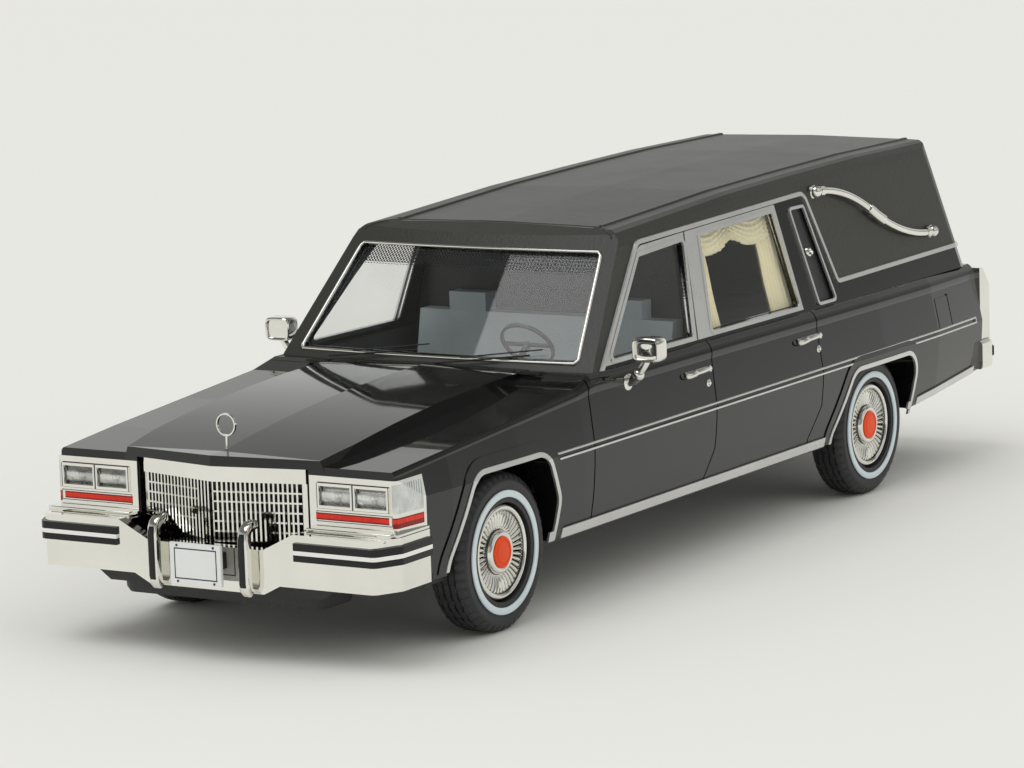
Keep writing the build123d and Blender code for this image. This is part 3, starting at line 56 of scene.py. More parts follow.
# CAD surfaces that pieces are laid on, in mm: half widths, heights, places along Y and slopes
CREASE_X, CREASE_Z, SIDE_LEAN = 22.6, 17.2, 0.2075
BELT_X, BELT_Z, HOUSE_LEAN = 20.5, 24.4, 0.232
SCREEN_FOOT_Y, SCREEN_RAKE, SCREEN_BOW = -28.0, 0.916, 176.0


# Small helpers

def settings(name):
    return getattr(bpy.context.scene, name)


def link_object(name, data):
    item = bpy.data.objects.new(name, data)
    bpy.context.scene.collection.objects.link(item)
    return item


def finish_bmesh(bm, name, smooth_degrees=None):
    mesh = bpy.data.meshes.new(name)
    bmesh.ops.remove_doubles(bm, verts=bm.verts, dist=1e-7)
    bmesh.ops.recalc_face_normals(bm, faces=bm.faces)
    bm.to_mesh(mesh)
    bm.free()
    if smooth_degrees is not None:
        mesh.shade_smooth()
        mesh.set_sharp_from_angle(angle=math.radians(smooth_degrees))
    return mesh


def add_piece(bm, name, smooth_degrees, slot, replaces=(), body="car", material=None):
    """Makes one piece that rides on a body, with the finish of the given record slot unless another material
    is given."""
    mesh = finish_bmesh(bm, name, smooth_degrees)
    mesh.materials.append(material or MATERIALS[slot])
    piece = link_object(name, mesh)
    if replaces:
        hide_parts(*replaces)
    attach(piece, body)
    return piece


def corner(bm, x, y, z):
    """A new corner at a place in mm."""
    return bm.verts.new((x * MM, y * MM, z * MM))


def mirrored(points, side):
    return [(side * x, y, z) for x, y, z in points]


def join_rings(bm, rings, closed=True, capped=True):
    """Skins a row of rings with quads. An open ring leaves out the side back to its start."""
    size = len(rings[0])
    for here, there in zip(rings, rings[1:]):
        for k in range(size if closed else size - 1):
            after = (k + 1) % size
            bm.faces.new((here[k], here[after], there[after], there[k]))
    if capped:
        bm.faces.new(rings[0])
        bm.faces.new(rings[-1])


def turned(bm, place, outward, profile, count, relief=None, closed=True):
    """Turns a half section of (out, radius) points, in mm, round an axle along X."""
    rings = []
    for step in range(count):
        angle = 2 * math.pi * step / count
        ring = []
        for index, (out, radius) in enumerate(profile):
            if relief:
                out, radius = relief(index, step, out, radius)
            ring.append(corner(bm, place[0] + outward * out, place[1] + radius * math.cos(angle),
                               place[2] + radius * math.sin(angle)))
        rings.append(ring)
    join_rings(bm, rings + rings[:1], closed, capped=False)


def box(bm, low, high):
    """Adds a box between two corners in mm."""
    corners = [corner(bm, *((low, high)[i >> axis & 1][axis] for axis in range(3))) for i in range(8)]
    for quad in ((0, 1, 3, 2), (4, 6, 7, 5), (0, 4, 5, 1), (2, 3, 7, 6), (0, 2, 6, 4), (1, 5, 7, 3)):
        bm.faces.new([corners[i] for i in quad])


def rod(bm, points, radius, count=10, flat=1.0):
    """Sweeps a round or flattened section, in mm, along a route of points."""
    route = [Vector(p) * MM for p in points]
    rings = []
    for index, point in enumerate(route):
        ahead = route[min(index + 1, len(route) - 1)] - route[max(index - 1, 0)]
        ahead.normalize()
        side = ahead.cross(Vector((0, 0, 1)))
        if side.length < 1e-3:
            side = ahead.cross(Vector((1, 0, 0)))
        side.normalize()
        over = side.cross(ahead)
        rings.append([bm.verts.new(point + radius * MM * (math.cos(a) * side + flat * math.sin(a) * over))
                      for a in (2 * math.pi * k / count for k in range(count))])
    join_rings(bm, rings)


def ball(bm, place, radius):
    turn = Matrix.Translation(Vector(place) * MM)
    bmesh.ops.create_uvsphere(bm, u_segments=24, v_segments=14, radius=radius * MM, matrix=turn)


def knob(bm, place, radius, depth, side, count=20):
    """A small turned stud, in mm, with a rounded face that looks along X."""
    profile = ((0, radius), (depth * 0.7, radius), (depth, radius * 0.75), (depth, 0.0))
    turned(bm, place, side, profile, count, closed=False)


def side_x(z):
    """Half width of the body side at a height above its crease, in mm."""
    return CREASE_X - SIDE_LEAN * (z - CREASE_Z)


def house_x(z):
    """Half width of the glazed body at a height above the belt, in mm."""
    return BELT_X - HOUSE_LEAN * (z - BELT_Z)


def screen_point(x, z, proud):
    """A point on the bowed windscreen, in mm."""
    bow = SCREEN_BOW - math.sqrt(SCREEN_BOW ** 2 - x * x)
    return (x, SCREEN_FOOT_Y + SCREEN_RAKE * (z - BELT_Z) + bow - proud, z)


def bevel(piece, width):
    edge = piece.modifiers.new("Rounded edges", "BEVEL")
    edge.width = width * MM
    edge.segments = 2
    return edge


def thicken(piece, thickness, offset=-1.0):
    sheet = piece.modifiers.new("Sheet thickness", "SOLIDIFY")
    sheet.thickness = thickness * MM
    sheet.offset = offset


def soften(name, width):
    """Rounds the edges of a CAD node as it is shown."""
    node = frame["nodes"][name]
    flat = node.modifiers.new("Join flats", "DECIMATE")
    flat.decimate_type = "DISSOLVE"
    flat.angle_limit = math.radians(1.0)
    edge = bevel(node, width)
    edge.limit_method = "ANGLE"
    edge.angle_limit = math.radians(30.0)
    edge.harden_normals = True


# Shader node groups

def new_group(name, inputs, output, kind):
    """Starts a node group with inputs of (name, default) and one output."""
    group = bpy.data.node_groups.new(name, "ShaderNodeTree")
    for label, default in inputs:
        form = "NodeSocketColor" if isinstance(default, tuple) else "NodeSocketFloat"
        socket = group.interface.new_socket(label, in_out="INPUT", socket_type=form)
        socket.default_value = default
    group.interface.new_socket(output, in_out="OUTPUT", socket_type=kind)
    out = group.nodes.new("NodeGroupOutput")
    return group, group.nodes.new("NodeGroupInput").outputs, out.inputs[output]


def fill(tree, node, values):
    """Links or sets the inputs of a node."""
    for key, value in values.items():
        if isinstance(value, bpy.types.NodeSocket):
            tree.links.new(value, node.inputs[key])
        else:
            node.inputs[key].default_value = value


def wire(tree, kind, values=None, **props):
    """Adds a node, sets its properties, and links or fills its inputs."""
    node = tree.nodes.new(kind)
    for key, value in props.items():
        setattr(node, key, value)
    fill(tree, node, values or {})
    return node


def noise(tree, scale, detail, roughness, vector=None):
    place = vector or wire(tree, "ShaderNodeTexCoord").outputs["Object"]
    values = {"Vector": place, "Scale": scale, "Detail": detail, "Roughness": roughness}
    return wire(tree, "ShaderNodeTexNoise", values).outputs["Fac"]


def math_node(tree, operation, first, second=0.0, clamp=False):
    return wire(tree, "ShaderNodeMath", {0: first, 1: second}, operation=operation,
                use_clamp=clamp).outputs[0]


def spread(tree, value, low, high, from_low=0.3, from_high=0.7):
    """Maps a value from one range, by default the middle of a noise, onto another."""
    return wire(tree, "ShaderNodeMapRange", {"Value": value, "From Min": from_low, "From Max": from_high,
                                             "To Min": low, "To Max": high}).outputs["Result"]


def drift(group, given, detail):
    """A soft noise that swings between minus and plus the group's Amount."""
    cloud = noise(group, given["Scale"], detail, 0.6)
    return math_node(group, "MULTIPLY", spread(group, cloud, -1.0, 1.0), given["Amount"])


def smudge_group():
    """Handling marks: a roughness that drifts over the surface."""
    group, given, out = new_group(
        "Handling smudges", (("Roughness", 0.2), ("Amount", 0.05), ("Scale", 120.0)),
        "Roughness", "NodeSocketFloat")
    total = math_node(group, "ADD", given["Roughness"], drift(group, given, 4.0), clamp=True)
    group.links.new(total, out)
    return group


def tone_group():
    """Colour variation: the same colour, a little lighter and darker in soft patches."""
    group, given, out = new_group(
        "Tone drift", (("Color", (0.5, 0.5, 0.5, 1.0)), ("Amount", 0.1), ("Scale", 90.0)),
        "Color", "NodeSocketColor")
    gain = math_node(group, "ADD", drift(group, given, 5.0), 1.0)
    scaled = wire(group, "ShaderNodeVectorMath", {0: given["Color"]}, operation="SCALE")
    group.links.new(gain, scaled.inputs["Scale"])
    group.links.new(scaled.outputs[0], out)
    return group


def grain_group():
    """Moulded grain: a fine pebbled height with a few coarser creases."""
    group, given, out = new_group("Moulded grain", (("Scale", 2500.0), ("Creases", 0.4)),
                                  "Height", "NodeSocketFloat")
    place = wire(group, "ShaderNodeTexCoord").outputs["Object"]
    cells = wire(group, "ShaderNodeTexVoronoi", {"Vector": place, "Scale": given["Scale"]},
                 feature="F1").outputs["Distance"]
    coarse = noise(group, math_node(group, "MULTIPLY", given["Scale"], 0.3), 4.0, 0.7, place)
    crease = math_node(group, "MULTIPLY", coarse, given["Creases"])
    group.links.new(math_node(group, "ADD", cells, crease), out)
    return group


def dust_group():
    """A light dust that settles on surfaces that face up."""
    group, given, out = new_group("Settled dust", (("Amount", 0.1), ("Scale", 900.0)),
                                  "Mask", "NodeSocketFloat")
    normal = wire(group, "ShaderNodeNewGeometry").outputs["Normal"]
    upward = wire(group, "ShaderNodeSeparateXYZ", {0: normal}).outputs["Z"]
    facing = spread(group, upward, 0.0, 1.0, 0.3, 1.0)
    specks = spread(group, noise(group, given["Scale"], 6.0, 0.7), 0.2, 1.0, 0.45, 0.75)
    mask = math_node(group, "MULTIPLY", facing, specks)
    group.links.new(math_node(group, "MULTIPLY", mask, given["Amount"], clamp=True), out)
    return group


GROUP_MAKERS = {"Handling smudges": smudge_group, "Tone drift": tone_group,
                "Moulded grain": grain_group, "Settled dust": dust_group}
GROUPS = {}


def effect(tree, name, **values):
    """Adds a shared node group, made at its first use, and gives its one output."""
    if name not in GROUPS:
        GROUPS[name] = GROUP_MAKERS[name]()
    return wire(tree, "ShaderNodeGroup", values, node_tree=GROUPS[name]).outputs[0]


# Materials

COAT_ROUGHNESS = 0.03
DUST_COLOR = (0.55, 0.54, 0.5, 1.0)
GLASS_TINT = (0.98, 0.985, 0.98, 1.0)
RUBBER_BLACK = (0.012, 0.012, 0.013)
PLATE_WHITE = (0.80, 0.82, 0.83)

FOIL_PROUD = 0.07
BORDER_COLOR = (0.02, 0.02, 0.022)

# Finishes that more than one material shares
PLATED = {"metallic": 1.0, "tone": 0.06, "smudge": 0.03, "smudge_scale": 500.0,
          "grain": (900.0, 0.06, 0.00003)}
RUBBER = {"tone": 0.2, "grain": (3000.0, 0.05, 0.00002), "specular": 0.3}
ENAMEL = {"tone": 0.04, "grain": (3000.0, 0.1, 0.00002)}


def blank_material(name):
    material = bpy.data.materials.new(name)
    material.use_nodes = True
    return material, material.node_tree, material.node_tree.nodes["Principled BSDF"]


def bump(tree, shader, height, strength, distance):
    node = wire(tree, "ShaderNodeBump", {"Strength": strength, "Distance": distance, "Height": height})
    tree.links.new(node.outputs["Normal"], shader.inputs["Normal"])


def finish_material(name, color, roughness, metallic=0.0, tone=0.08, smudge=0.04, smudge_scale=140.0,
                    dust=0.0, grain=None, coat=0.0, specular=0.5):
    """A solid finish with drifting tone and roughness, settled dust, and a moulded grain."""
    material, tree, shader = blank_material(name)
    base = effect(tree, "Tone drift", Color=(*color, 1.0), Amount=tone)
    rough = effect(tree, "Handling smudges", Roughness=roughness, Amount=smudge, Scale=smudge_scale)
    if dust:
        base = mix_color(tree, effect(tree, "Settled dust", Amount=dust), base, DUST_COLOR)
    fill(tree, shader, {"Base Color": base, "Roughness": rough, "Metallic": metallic, "Coat Weight": coat,
                        "Coat Roughness": COAT_ROUGHNESS, "Specular IOR Level": specular})
    if grain:
        scale, strength, distance = grain
        bump(tree, shader, effect(tree, "Moulded grain", Scale=scale), strength, distance)
    return material


def mix_color(tree, factor, first, second):
    node = tree.nodes.new("ShaderNodeMix")
    node.data_type = "RGBA"
    sockets = {s.identifier: s for s in node.inputs}
    for key, value in (("Factor_Float", factor), ("A_Color", first), ("B_Color", second)):
        if isinstance(value, bpy.types.NodeSocket):
            tree.links.new(value, sockets[key])
        else:
            sockets[key].default_value = value
    return next(s for s in node.outputs if s.identifier == "Result_Color")


def glass_material(name):
    """Clear glazing that lets shadow and diffuse rays straight through."""
    material, tree, shader = blank_material(name)
    fill(tree, shader, {
        "Base Color": effect(tree, "Tone drift", Color=GLASS_TINT, Amount=0.02),
        "Roughness": effect(tree, "Handling smudges", Roughness=0.008, Amount=0.015, Scale=60.0),
        "Transmission Weight": 1.0, "IOR": 1.42})
    rays = wire(tree, "ShaderNodeLightPath").outputs
    passed = math_node(tree, "MAXIMUM", rays["Is Shadow Ray"], rays["Is Diffuse Ray"])
    open_air = wire(tree, "ShaderNodeBsdfTransparent", {"Color": GLASS_TINT})
    mixed = wire(tree, "ShaderNodeMixShader", {0: passed, 1: shader.outputs[0], 2: open_air.outputs[0]})
    tree.links.new(mixed.outputs[0], tree.nodes["Material Output"].inputs["Surface"])
    return material


def axes(tree):
    place = wire(tree, "ShaderNodeTexCoord").outputs["Object"]
    return wire(tree, "ShaderNodeSeparateXYZ", {0: place}).outputs


def within(tree, value, low, high):
    """A mask that is 1 where a coordinate lies between two places given in mm."""
    above = math_node(tree, "GREATER_THAN", value, low * MM)
    below = math_node(tree, "LESS_THAN", value, high * MM)
    return math_node(tree, "MULTIPLY", above, below)


def ripple(tree, value, pitch):
    """A sine wave along a coordinate, with its pitch in mm."""
    return math_node(tree, "SINE", math_node(tree, "MULTIPLY", value, 2 * math.pi / (pitch * MM)))


def recolor(material, mask, color):
    """Mixes a plain colour over a finish where the mask is 1."""
    tree = material.node_tree
    shader = tree.nodes["Principled BSDF"]
    under = shader.inputs["Base Color"].links[0].from_socket
    tree.links.new(mix_color(tree, mask, under, (*color, 1.0)), shader.inputs["Base Color"])


def draw_borders(material, frames, line, color):
    """Draws a line, as wide as given in mm, round frames of (x, x, z, z) on both sides of the car."""
    tree = material.node_tree
    parts = axes(tree)
    across = math_node(tree, "ABSOLUTE", parts["X"])

    def filled(grow, x_from, x_to, z_from, z_to):
        return math_node(tree, "MULTIPLY", within(tree, across, x_from - grow, x_to + grow),
                         within(tree, parts["Z"], z_from - grow, z_to + grow))

    for edges in frames:
        recolor(material, math_node(tree, "SUBTRACT", filled(line, *edges), filled(0.0, *edges)), color)


def ribbed_lens(name, color, roughness, pitch, metallic, depth, coat):
    """A lamp lens with fine upright ribs and a soft cloudy tone behind them."""
    material, tree, shader = blank_material(name)
    parts = axes(tree)
    wave = ripple(tree, math_node(tree, "ADD", parts["X"], parts["Y"]), pitch)
    height = math_node(tree, "MULTIPLY", math_node(tree, "ADD", wave, 1.0), 0.5)
    fill(tree, shader, {
        "Base Color": effect(tree, "Tone drift", Color=(*color, 1.0), Amount=0.2, Scale=700.0),
        "Roughness": effect(tree, "Handling smudges", Roughness=roughness, Amount=0.03, Scale=400.0),
        "Metallic": metallic, "Coat Weight": coat, "Coat Roughness": COAT_ROUGHNESS,
        "Specular IOR Level": 0.3})
    bump(tree, shader, height, 0.6, depth)
    return material


def red_lens(name):
    return ribbed_lens(name, settings("hearse_colors").lamp, roughness=0.2, pitch=0.5, metallic=0.0,
                       depth=0.00004, coat=0.15)


MATERIALS = {}

# How far, in mm, the edges of a node are rounded as it is shown
SOFT_EDGES = {
    "front_bumper": 0.4, "front_bumper_strips": 0.12, "lamp_housings": 0.08,
    "tail_lamp_housings": 0.5, "tail_lamps": 0.08, "turn_lamps": 0.05,
    "cornering_lamps": 0.06, "bench_seat": 0.5, "headrests": 0.6, "dashboard": 0.4, "grille_header": 0.1,
    "tailgate_handle": 0.15, "inside_mirror": 0.12, "front_valance": 0.4, "base_plate": 0.1,
}

# Lines drawn on CAD nodes, in mm: heights, and frames of (x, x, z, z)
STRIP_LINE_Z = (11.88, 12.32)
# TURN_LENS_Z is the middle band of the turn lenses, left lighter as if lit; above and below it the lenses get
# painted shade.
TURN_LENS_Z = (15.1, 15.56)
SUN_BAND_Z = (34.1, 40.0)
LAMP_POCKETS = ((12.04, 16.26, 16.2, 18.8), (16.44, 20.66, 16.2, 18.8), (11.8, 20.9, 14.86, 15.8))
FRONT_PLATE_Z = (8.15, 12.45)
REAR_PLATE_Z = (15.6, 19.9)


def make_materials():
    s = settings("hearse_colors")
    for slot, name, color, roughness, finish in (
            ("gloss_lacquer", "Gloss black lacquer", s.lacquer, 0.06,
             {"coat": 0.42, "tone": 0.15, "smudge": 0.02, "dust": 0.01, "specular": 0.3}),
            ("grained_roof", "Grained roof covering", s.roof, 0.38,
             {"tone": 0.06, "smudge": 0.015, "grain": (2400.0, 0.3, 0.00005), "specular": 0.6}),
            ("bright_trim", "Bright plating", s.bright, 0.07, PLATED),
            ("brushed_trim", "Silver foil", s.silver, 0.3,
             {"metallic": 0.85, "tone": 0.06, "smudge_scale": 400.0, "grain": (1500.0, 0.06, 0.00002)}),
            ("black_rubber", "Bumper rubber", RUBBER_BLACK, 0.25, RUBBER),
            ("tyre_rubber", "Tyre rubber", (0.02, 0.021, 0.023), 0.5,
             {"tone": 0.25, "dust": 0.03, "grain": (4200.0, 0.3, 0.00004)}),
            ("whitewall", "Whitewall rubber", s.whitewall, 0.45,
             {"tone": 0.06, "grain": (5000.0, 0.15, 0.00003)}),
            ("hub_orange", "Hub centre paint", s.hub, 0.3, {**ENAMEL, "tone": 0.1, "specular": 0.25}),
            ("lamp_reflector", "Lamp reflector", (0.86, 0.87, 0.85), 0.3,
             {"metallic": 0.55, "tone": 0.25, "smudge": 0.1, "smudge_scale": 900.0,
              "grain": (1800.0, 0.3, 0.00005)}),
            ("seat_plastic", "Slate seat plastic", s.seat, 0.55,
             {"tone": 0.12, "grain": (3500.0, 0.3, 0.00005)}),
            ("cabin_black", "Black cabin plastic", (0.022, 0.022, 0.024), 0.4,
             {"tone": 0.2, "grain": (3500.0, 0.25, 0.00004)}),
            ("drape_cream", "Ivory drapes", s.drape, 0.6, {"grain": (5200.0, 0.2, 0.00004)}),
            ("plate_white", "White plate enamel", PLATE_WHITE, 0.35, ENAMEL),
            ("base_black", "Base plate black", (0.018, 0.018, 0.018), 0.5,
             {"tone": 0.2, "grain": (2600.0, 0.3, 0.00006)}),
            ("axle_steel", "Turned steel", (0.5, 0.5, 0.5), 0.28,
             {"metallic": 1.0, "tone": 0.1, "grain": (4000.0, 0.2, 0.00003)})):
        MATERIALS[slot] = finish_material(name, color, roughness, **finish)
    MATERIALS["lamp_glass"] = ribbed_lens("Clear ribbed lens", (0.62, 0.64, 0.63), roughness=0.12,
                                          pitch=0.42, metallic=0.7, depth=0.00006, coat=1.0)
    MATERIALS["red_lens"] = red_lens("Orange red lens")
    MATERIALS["clear_glazing"] = glass_material("Clear glazing")


def make_marked_materials():
    """Finishes of single nodes that carry a line, a border, a printed band or painted shade."""
    strips = finish_material("Rubber strip with a line", RUBBER_BLACK, 0.25, **RUBBER)
    tree = strips.node_tree
    recolor(strips, within(tree, axes(tree)["Z"], *STRIP_LINE_Z), (0.9, 0.9, 0.88))
    turns = red_lens("Turn lamp lens")
    tree = turns.node_tree
    # Painted shade: the turn lenses are a darker red above and below their middle band, which stays lighter
    # as if lit.
    edges = math_node(tree, "SUBTRACT", 1.0, within(tree, axes(tree)["Z"], *TURN_LENS_Z))
    recolor(turns, edges, (0.25, 0.008, 0.003))
    housings = finish_material("Plated lamp housing", settings("hearse_colors").bright, 0.07, **PLATED)
    draw_borders(housings, LAMP_POCKETS, 0.09, (0.09, 0.09, 0.085))
    marked = {"front_bumper_strips": strips, "turn_lamps": turns, "lamp_housings": housings}
    plate_line_x, plate_line_inset = 2.54, 0.66
    for name, (low, high) in (("front_plate", FRONT_PLATE_Z), ("rear_plate", REAR_PLATE_Z)):
        marked[name] = finish_material("Plate enamel with a border " + name, PLATE_WHITE, 0.35, **ENAMEL)
        frames = ((-1.0, plate_line_x, low + plate_line_inset, high - plate_line_inset),)
        draw_borders(marked[name], frames, 0.14, BORDER_COLOR)
    screen = glass_material("Windscreen with a dotted sun band")
    tree = screen.node_tree
    parts = axes(tree)
    dot_pitch_x, dot_pitch_z, dot_level = 0.42, 0.34, 0.55
    dots = math_node(tree, "ADD", ripple(tree, parts["X"], dot_pitch_x),
                     ripple(tree, parts["Z"], dot_pitch_z))
    band = math_node(tree, "MULTIPLY", math_node(tree, "GREATER_THAN", dots, dot_level),
                     within(tree, parts["Z"], *SUN_BAND_Z))
    recolor(screen, band, (0.02, 0.022, 0.024))
    tree.links.new(math_node(tree, "SUBTRACT", 1.0, band),
                   tree.nodes["Principled BSDF"].inputs["Transmission Weight"])
    marked["windscreen_glass"] = screen
    return marked


class HearseColors(bpy.types.PropertyGroup):
    lacquer: bpy.props.FloatVectorProperty(
        name="Lacquer", description="Colour of the gloss body", subtype="COLOR", size=3, min=0.0, max=1.0,
        default=(0.006, 0.006, 0.0065))
    roof: bpy.props.FloatVectorProperty(
        name="Roof", description="Colour of the grained roof covering", subtype="COLOR", size=3, min=0.0,
        max=1.0, default=(0.022, 0.022, 0.0175))
    bright: bpy.props.FloatVectorProperty(
        name="Plating", description="Colour of the bright plating", subtype="COLOR", size=3, min=0.0, max=1.0,
        default=(0.84, 0.83, 0.78))
    silver: bpy.props.FloatVectorProperty(
        name="Silver foil", description="Colour of the silver mouldings", subtype="COLOR", size=3, min=0.0,
        max=1.0, default=(0.70, 0.70, 0.69))
    whitewall: bpy.props.FloatVectorProperty(
        name="Whitewall", description="Colour of the sidewall rings", subtype="COLOR", size=3, min=0.0,
        max=1.0, default=(0.66, 0.75, 0.79))
    lamp: bpy.props.FloatVectorProperty(
        name="Red lamps", description="Colour of the orange red lenses", subtype="COLOR", size=3, min=0.0,
        max=1.0, default=(0.78, 0.022, 0.005))
    hub: bpy.props.FloatVectorProperty(
        name="Hub centres", description="Colour of the wheel centres", subtype="COLOR", size=3, min=0.0,
        max=1.0, default=(0.88, 0.075, 0.007))
    seat: bpy.props.FloatVectorProperty(
        name="Seats", description="Colour of the seats and the partition", subtype="COLOR", size=3, min=0.0,
        max=1.0, default=(0.45, 0.53, 0.56))
    drape: bpy.props.FloatVectorProperty(
        name="Drapes", description="Colour of the window drapes", subtype="COLOR", size=3, min=0.0, max=1.0,
        default=(0.95, 0.88, 0.62))


class HearseWheels(bpy.types.PropertyGroup):
    front_axle: bpy.props.FloatProperty(
        name="Front axle", description="Place of the front axle along Y", subtype="DISTANCE", unit="LENGTH",
        default=-0.0475)
    rear_axle: bpy.props.FloatProperty(
        name="Rear axle", description="Place of the rear axle along Y", subtype="DISTANCE", unit="LENGTH",
        default=0.0377)
    height: bpy.props.FloatProperty(
        name="Axle height", description="Height of the axles above the floor", subtype="DISTANCE",
        unit="LENGTH", default=0.0085)
    tread_steps: bpy.props.IntProperty(
        name="Tread steps", description="Steps of the tread round each tyre", min=48, max=400, default=192)
    fins: bpy.props.IntProperty(
        name="Cover fins", description="Radial fins on each wheel cover", min=12, max=90, default=42)


class HearseCabin(bpy.types.PropertyGroup):
    folds: bpy.props.FloatProperty(
        name="Curtain folds", description="Folds in each side curtain", min=1.0, max=20.0, default=6.0)
    swag: bpy.props.FloatProperty(
        name="Swag drop", description="How far the valance hangs down in each swag", subtype="DISTANCE",
        unit="LENGTH", default=0.0014)


class HearseRoof(bpy.types.PropertyGroup):
    landau_front: bpy.props.FloatVectorProperty(
        name="Bar front end", description="Front end of the landau bars along Y and Z, in mm", size=2,
        default=(31.0, 37.8))
    landau_rear: bpy.props.FloatVectorProperty(
        name="Bar rear end", description="Rear end of the landau bars along Y and Z, in mm", size=2,
        default=(58.9, 29.8))


class HearseView(bpy.types.PropertyGroup):
    azimuth: bpy.props.FloatProperty(
        name="Azimuth", description="Side from which the camera looks", subtype="ANGLE",
        default=math.radians(32.04))
    elevation: bpy.props.FloatProperty(
        name="Elevation", description="Height of the camera above the horizon", subtype="ANGLE",
        default=math.radians(8.79))
    roll: bpy.props.FloatProperty(
        name="Roll", description="Tilt of the photograph", subtype="ANGLE", default=math.radians(-1.89))
    place: bpy.props.FloatVectorProperty(
        name="Camera place", description="Where the camera stands", subtype="TRANSLATION", unit="LENGTH",
        size=3, default=(0.247512, -0.406275, 0.092988))
    lens: bpy.props.FloatProperty(
        name="Lens", description="Focal length", subtype="DISTANCE_CAMERA", default=144.57)
    floor_tone: bpy.props.FloatVectorProperty(
        name="Floor", description="Colour of the floor and backdrop", subtype="COLOR", size=3, min=0.0,
        max=1.0, default=(0.83, 0.84, 0.82))
    ceiling_tone: bpy.props.FloatVectorProperty(
        name="Ceiling", description="Colour of the room above, seen in reflections", subtype="COLOR", size=3,
        min=0.0, max=1.0, default=(0.16, 0.16, 0.15))


class HEARSE_OT_finishes(bpy.types.Operator):
    """Give every CAD node its procedural finish"""
    bl_idname = "hearse.finishes"
    bl_label = "Apply finishes"

    def execute(self, context):
        make_materials()
        marked = make_marked_materials()
        for entry in frame["record"]["subparts"]:
            name = entry["node"]
            mesh = frame["nodes"][name].data
            mesh.materials.clear()
            mesh.materials.append(marked.get(name, MATERIALS[entry["material_slot"]]))
            mesh.shade_smooth()
            mesh.set_sharp_from_angle(angle=math.radians(33))
        for name, width in SOFT_EDGES.items():
            soften(name, width)
        return {"FINISHED"}


# Wheels: places of the turned pieces along X, in mm
TYRE_MIDDLE_X, COVER_X, HUB_X, WHITEWALL_X = 19.3, 20.3, 21.15, 21.55


def wheel_places():
    s = settings("hearse_wheels")
    for end, axle_y in (("front", s.front_axle), ("rear", s.rear_axle)):
        yield end, axle_y / MM, s.height / MM


def add_wheel_piece(place, name, x, profile, count, degrees, slot, replaced, relief=None, material=None):
    """Turns one piece for both wheels of an axle, which rolls with them."""
    end, axle_y, height = place
    bm = bmesh.new()
    for side in (-1, 1):
        turned(bm, (side * x, axle_y, height), side, profile, count, relief)
    add_piece(bm, f"{end}_{name}", degrees, slot, (f"{end}_{replaced}",), f"{end}_wheelset", material)


class HEARSE_OT_tyres(bpy.types.Operator):
    """Mould the tyres with a ribbed tread, shoulder sipes and a raised sidewall rib"""
    bl_idname = "hearse.tyres"
    bl_label = "Mould the tyres"

    def execute(self, context):
        half = [(0.0, 8.5), (0.28, 8.5), (0.34, 8.28), (0.50, 8.28), (0.56, 8.5), (1.05, 8.5), (1.11, 8.3),
                (1.24, 8.3), (1.30, 8.48), (1.72, 8.36), (2.0, 8.06), (2.14, 7.72), (2.24, 7.62),
                (2.27, 7.5), (2.27, 6.95), (2.2, 6.8), (2.2, 5.75), (2.26, 5.58), (2.2, 5.3)]
        profile = half + [(-out, radius) for out, radius in reversed(half[1:])]
        groove_walls, shoulder, ribs = (2, 3, 6, 7), (8, 9, 10), (0, 1, 4, 5)

        zigzag, sipe, shoulder_cuts = 0.07, 0.12, (0.14, 0.14, 0.32)

        def relief(index, step, out, radius):
            near = index if index < len(half) else len(profile) - index
            turn = step + (2 if out > 0 else 0)
            if near in groove_walls:
                out += zigzag * (1 if step // 3 % 2 else -1)
            if near in shoulder and turn % 4 == 0:
                radius -= shoulder_cuts[near - shoulder[0]]
            if near in ribs and step % 8 == 0:
                radius -= sipe
            return out, radius

        for place in wheel_places():
            add_wheel_piece(place, "tyre_treads", TYRE_MIDDLE_X, profile,
                            settings("hearse_wheels").tread_steps, 38, "tyre_rubber", "tyres", relief)
        return {"FINISHED"}


def cover_material(end, axle_y, height, fins):
    """Plating with painted shade in the grooves between the fins of one end's wheel covers."""
    material = finish_material("Finned plating " + end, settings("hearse_colors").bright, 0.08, **PLATED)
    tree = material.node_tree
    parts = axes(tree)
    along = math_node(tree, "SUBTRACT", parts["Y"], axle_y * MM)
    rise = math_node(tree, "SUBTRACT", parts["Z"], height * MM)
    turn = math_node(tree, "ARCTAN2", rise, along)
    wave = math_node(tree, "COSINE", math_node(tree, "MULTIPLY", turn, fins))
    radius = math_node(tree, "SQRT", math_node(tree, "ADD", math_node(tree, "MULTIPLY", along, along),
                                               math_node(tree, "MULTIPLY", rise, rise)))
    fins_from, fins_to = 2.75, 4.36
    # Painted shade: the grooves between the fins get the dark grey set below, standing in for the shade that
    # falls in them.
    painted_groove_shade = math_node(tree, "MULTIPLY", spread(tree, wave, 0.0, 1.0, 0.35, 0.85),
                       within(tree, radius, fins_from, fins_to))
    seam = math_node(tree, "MAXIMUM", within(tree, radius, fins_to, fins_to + 0.1),
                     within(tree, radius, 2.36, 2.48))
    # Painted shade of the fin grooves, mixed with the two seam rings, in one dark grey.
    recolor(material, math_node(tree, "MAXIMUM", painted_groove_shade, seam), (0.13, 0.13, 0.12))
    return material


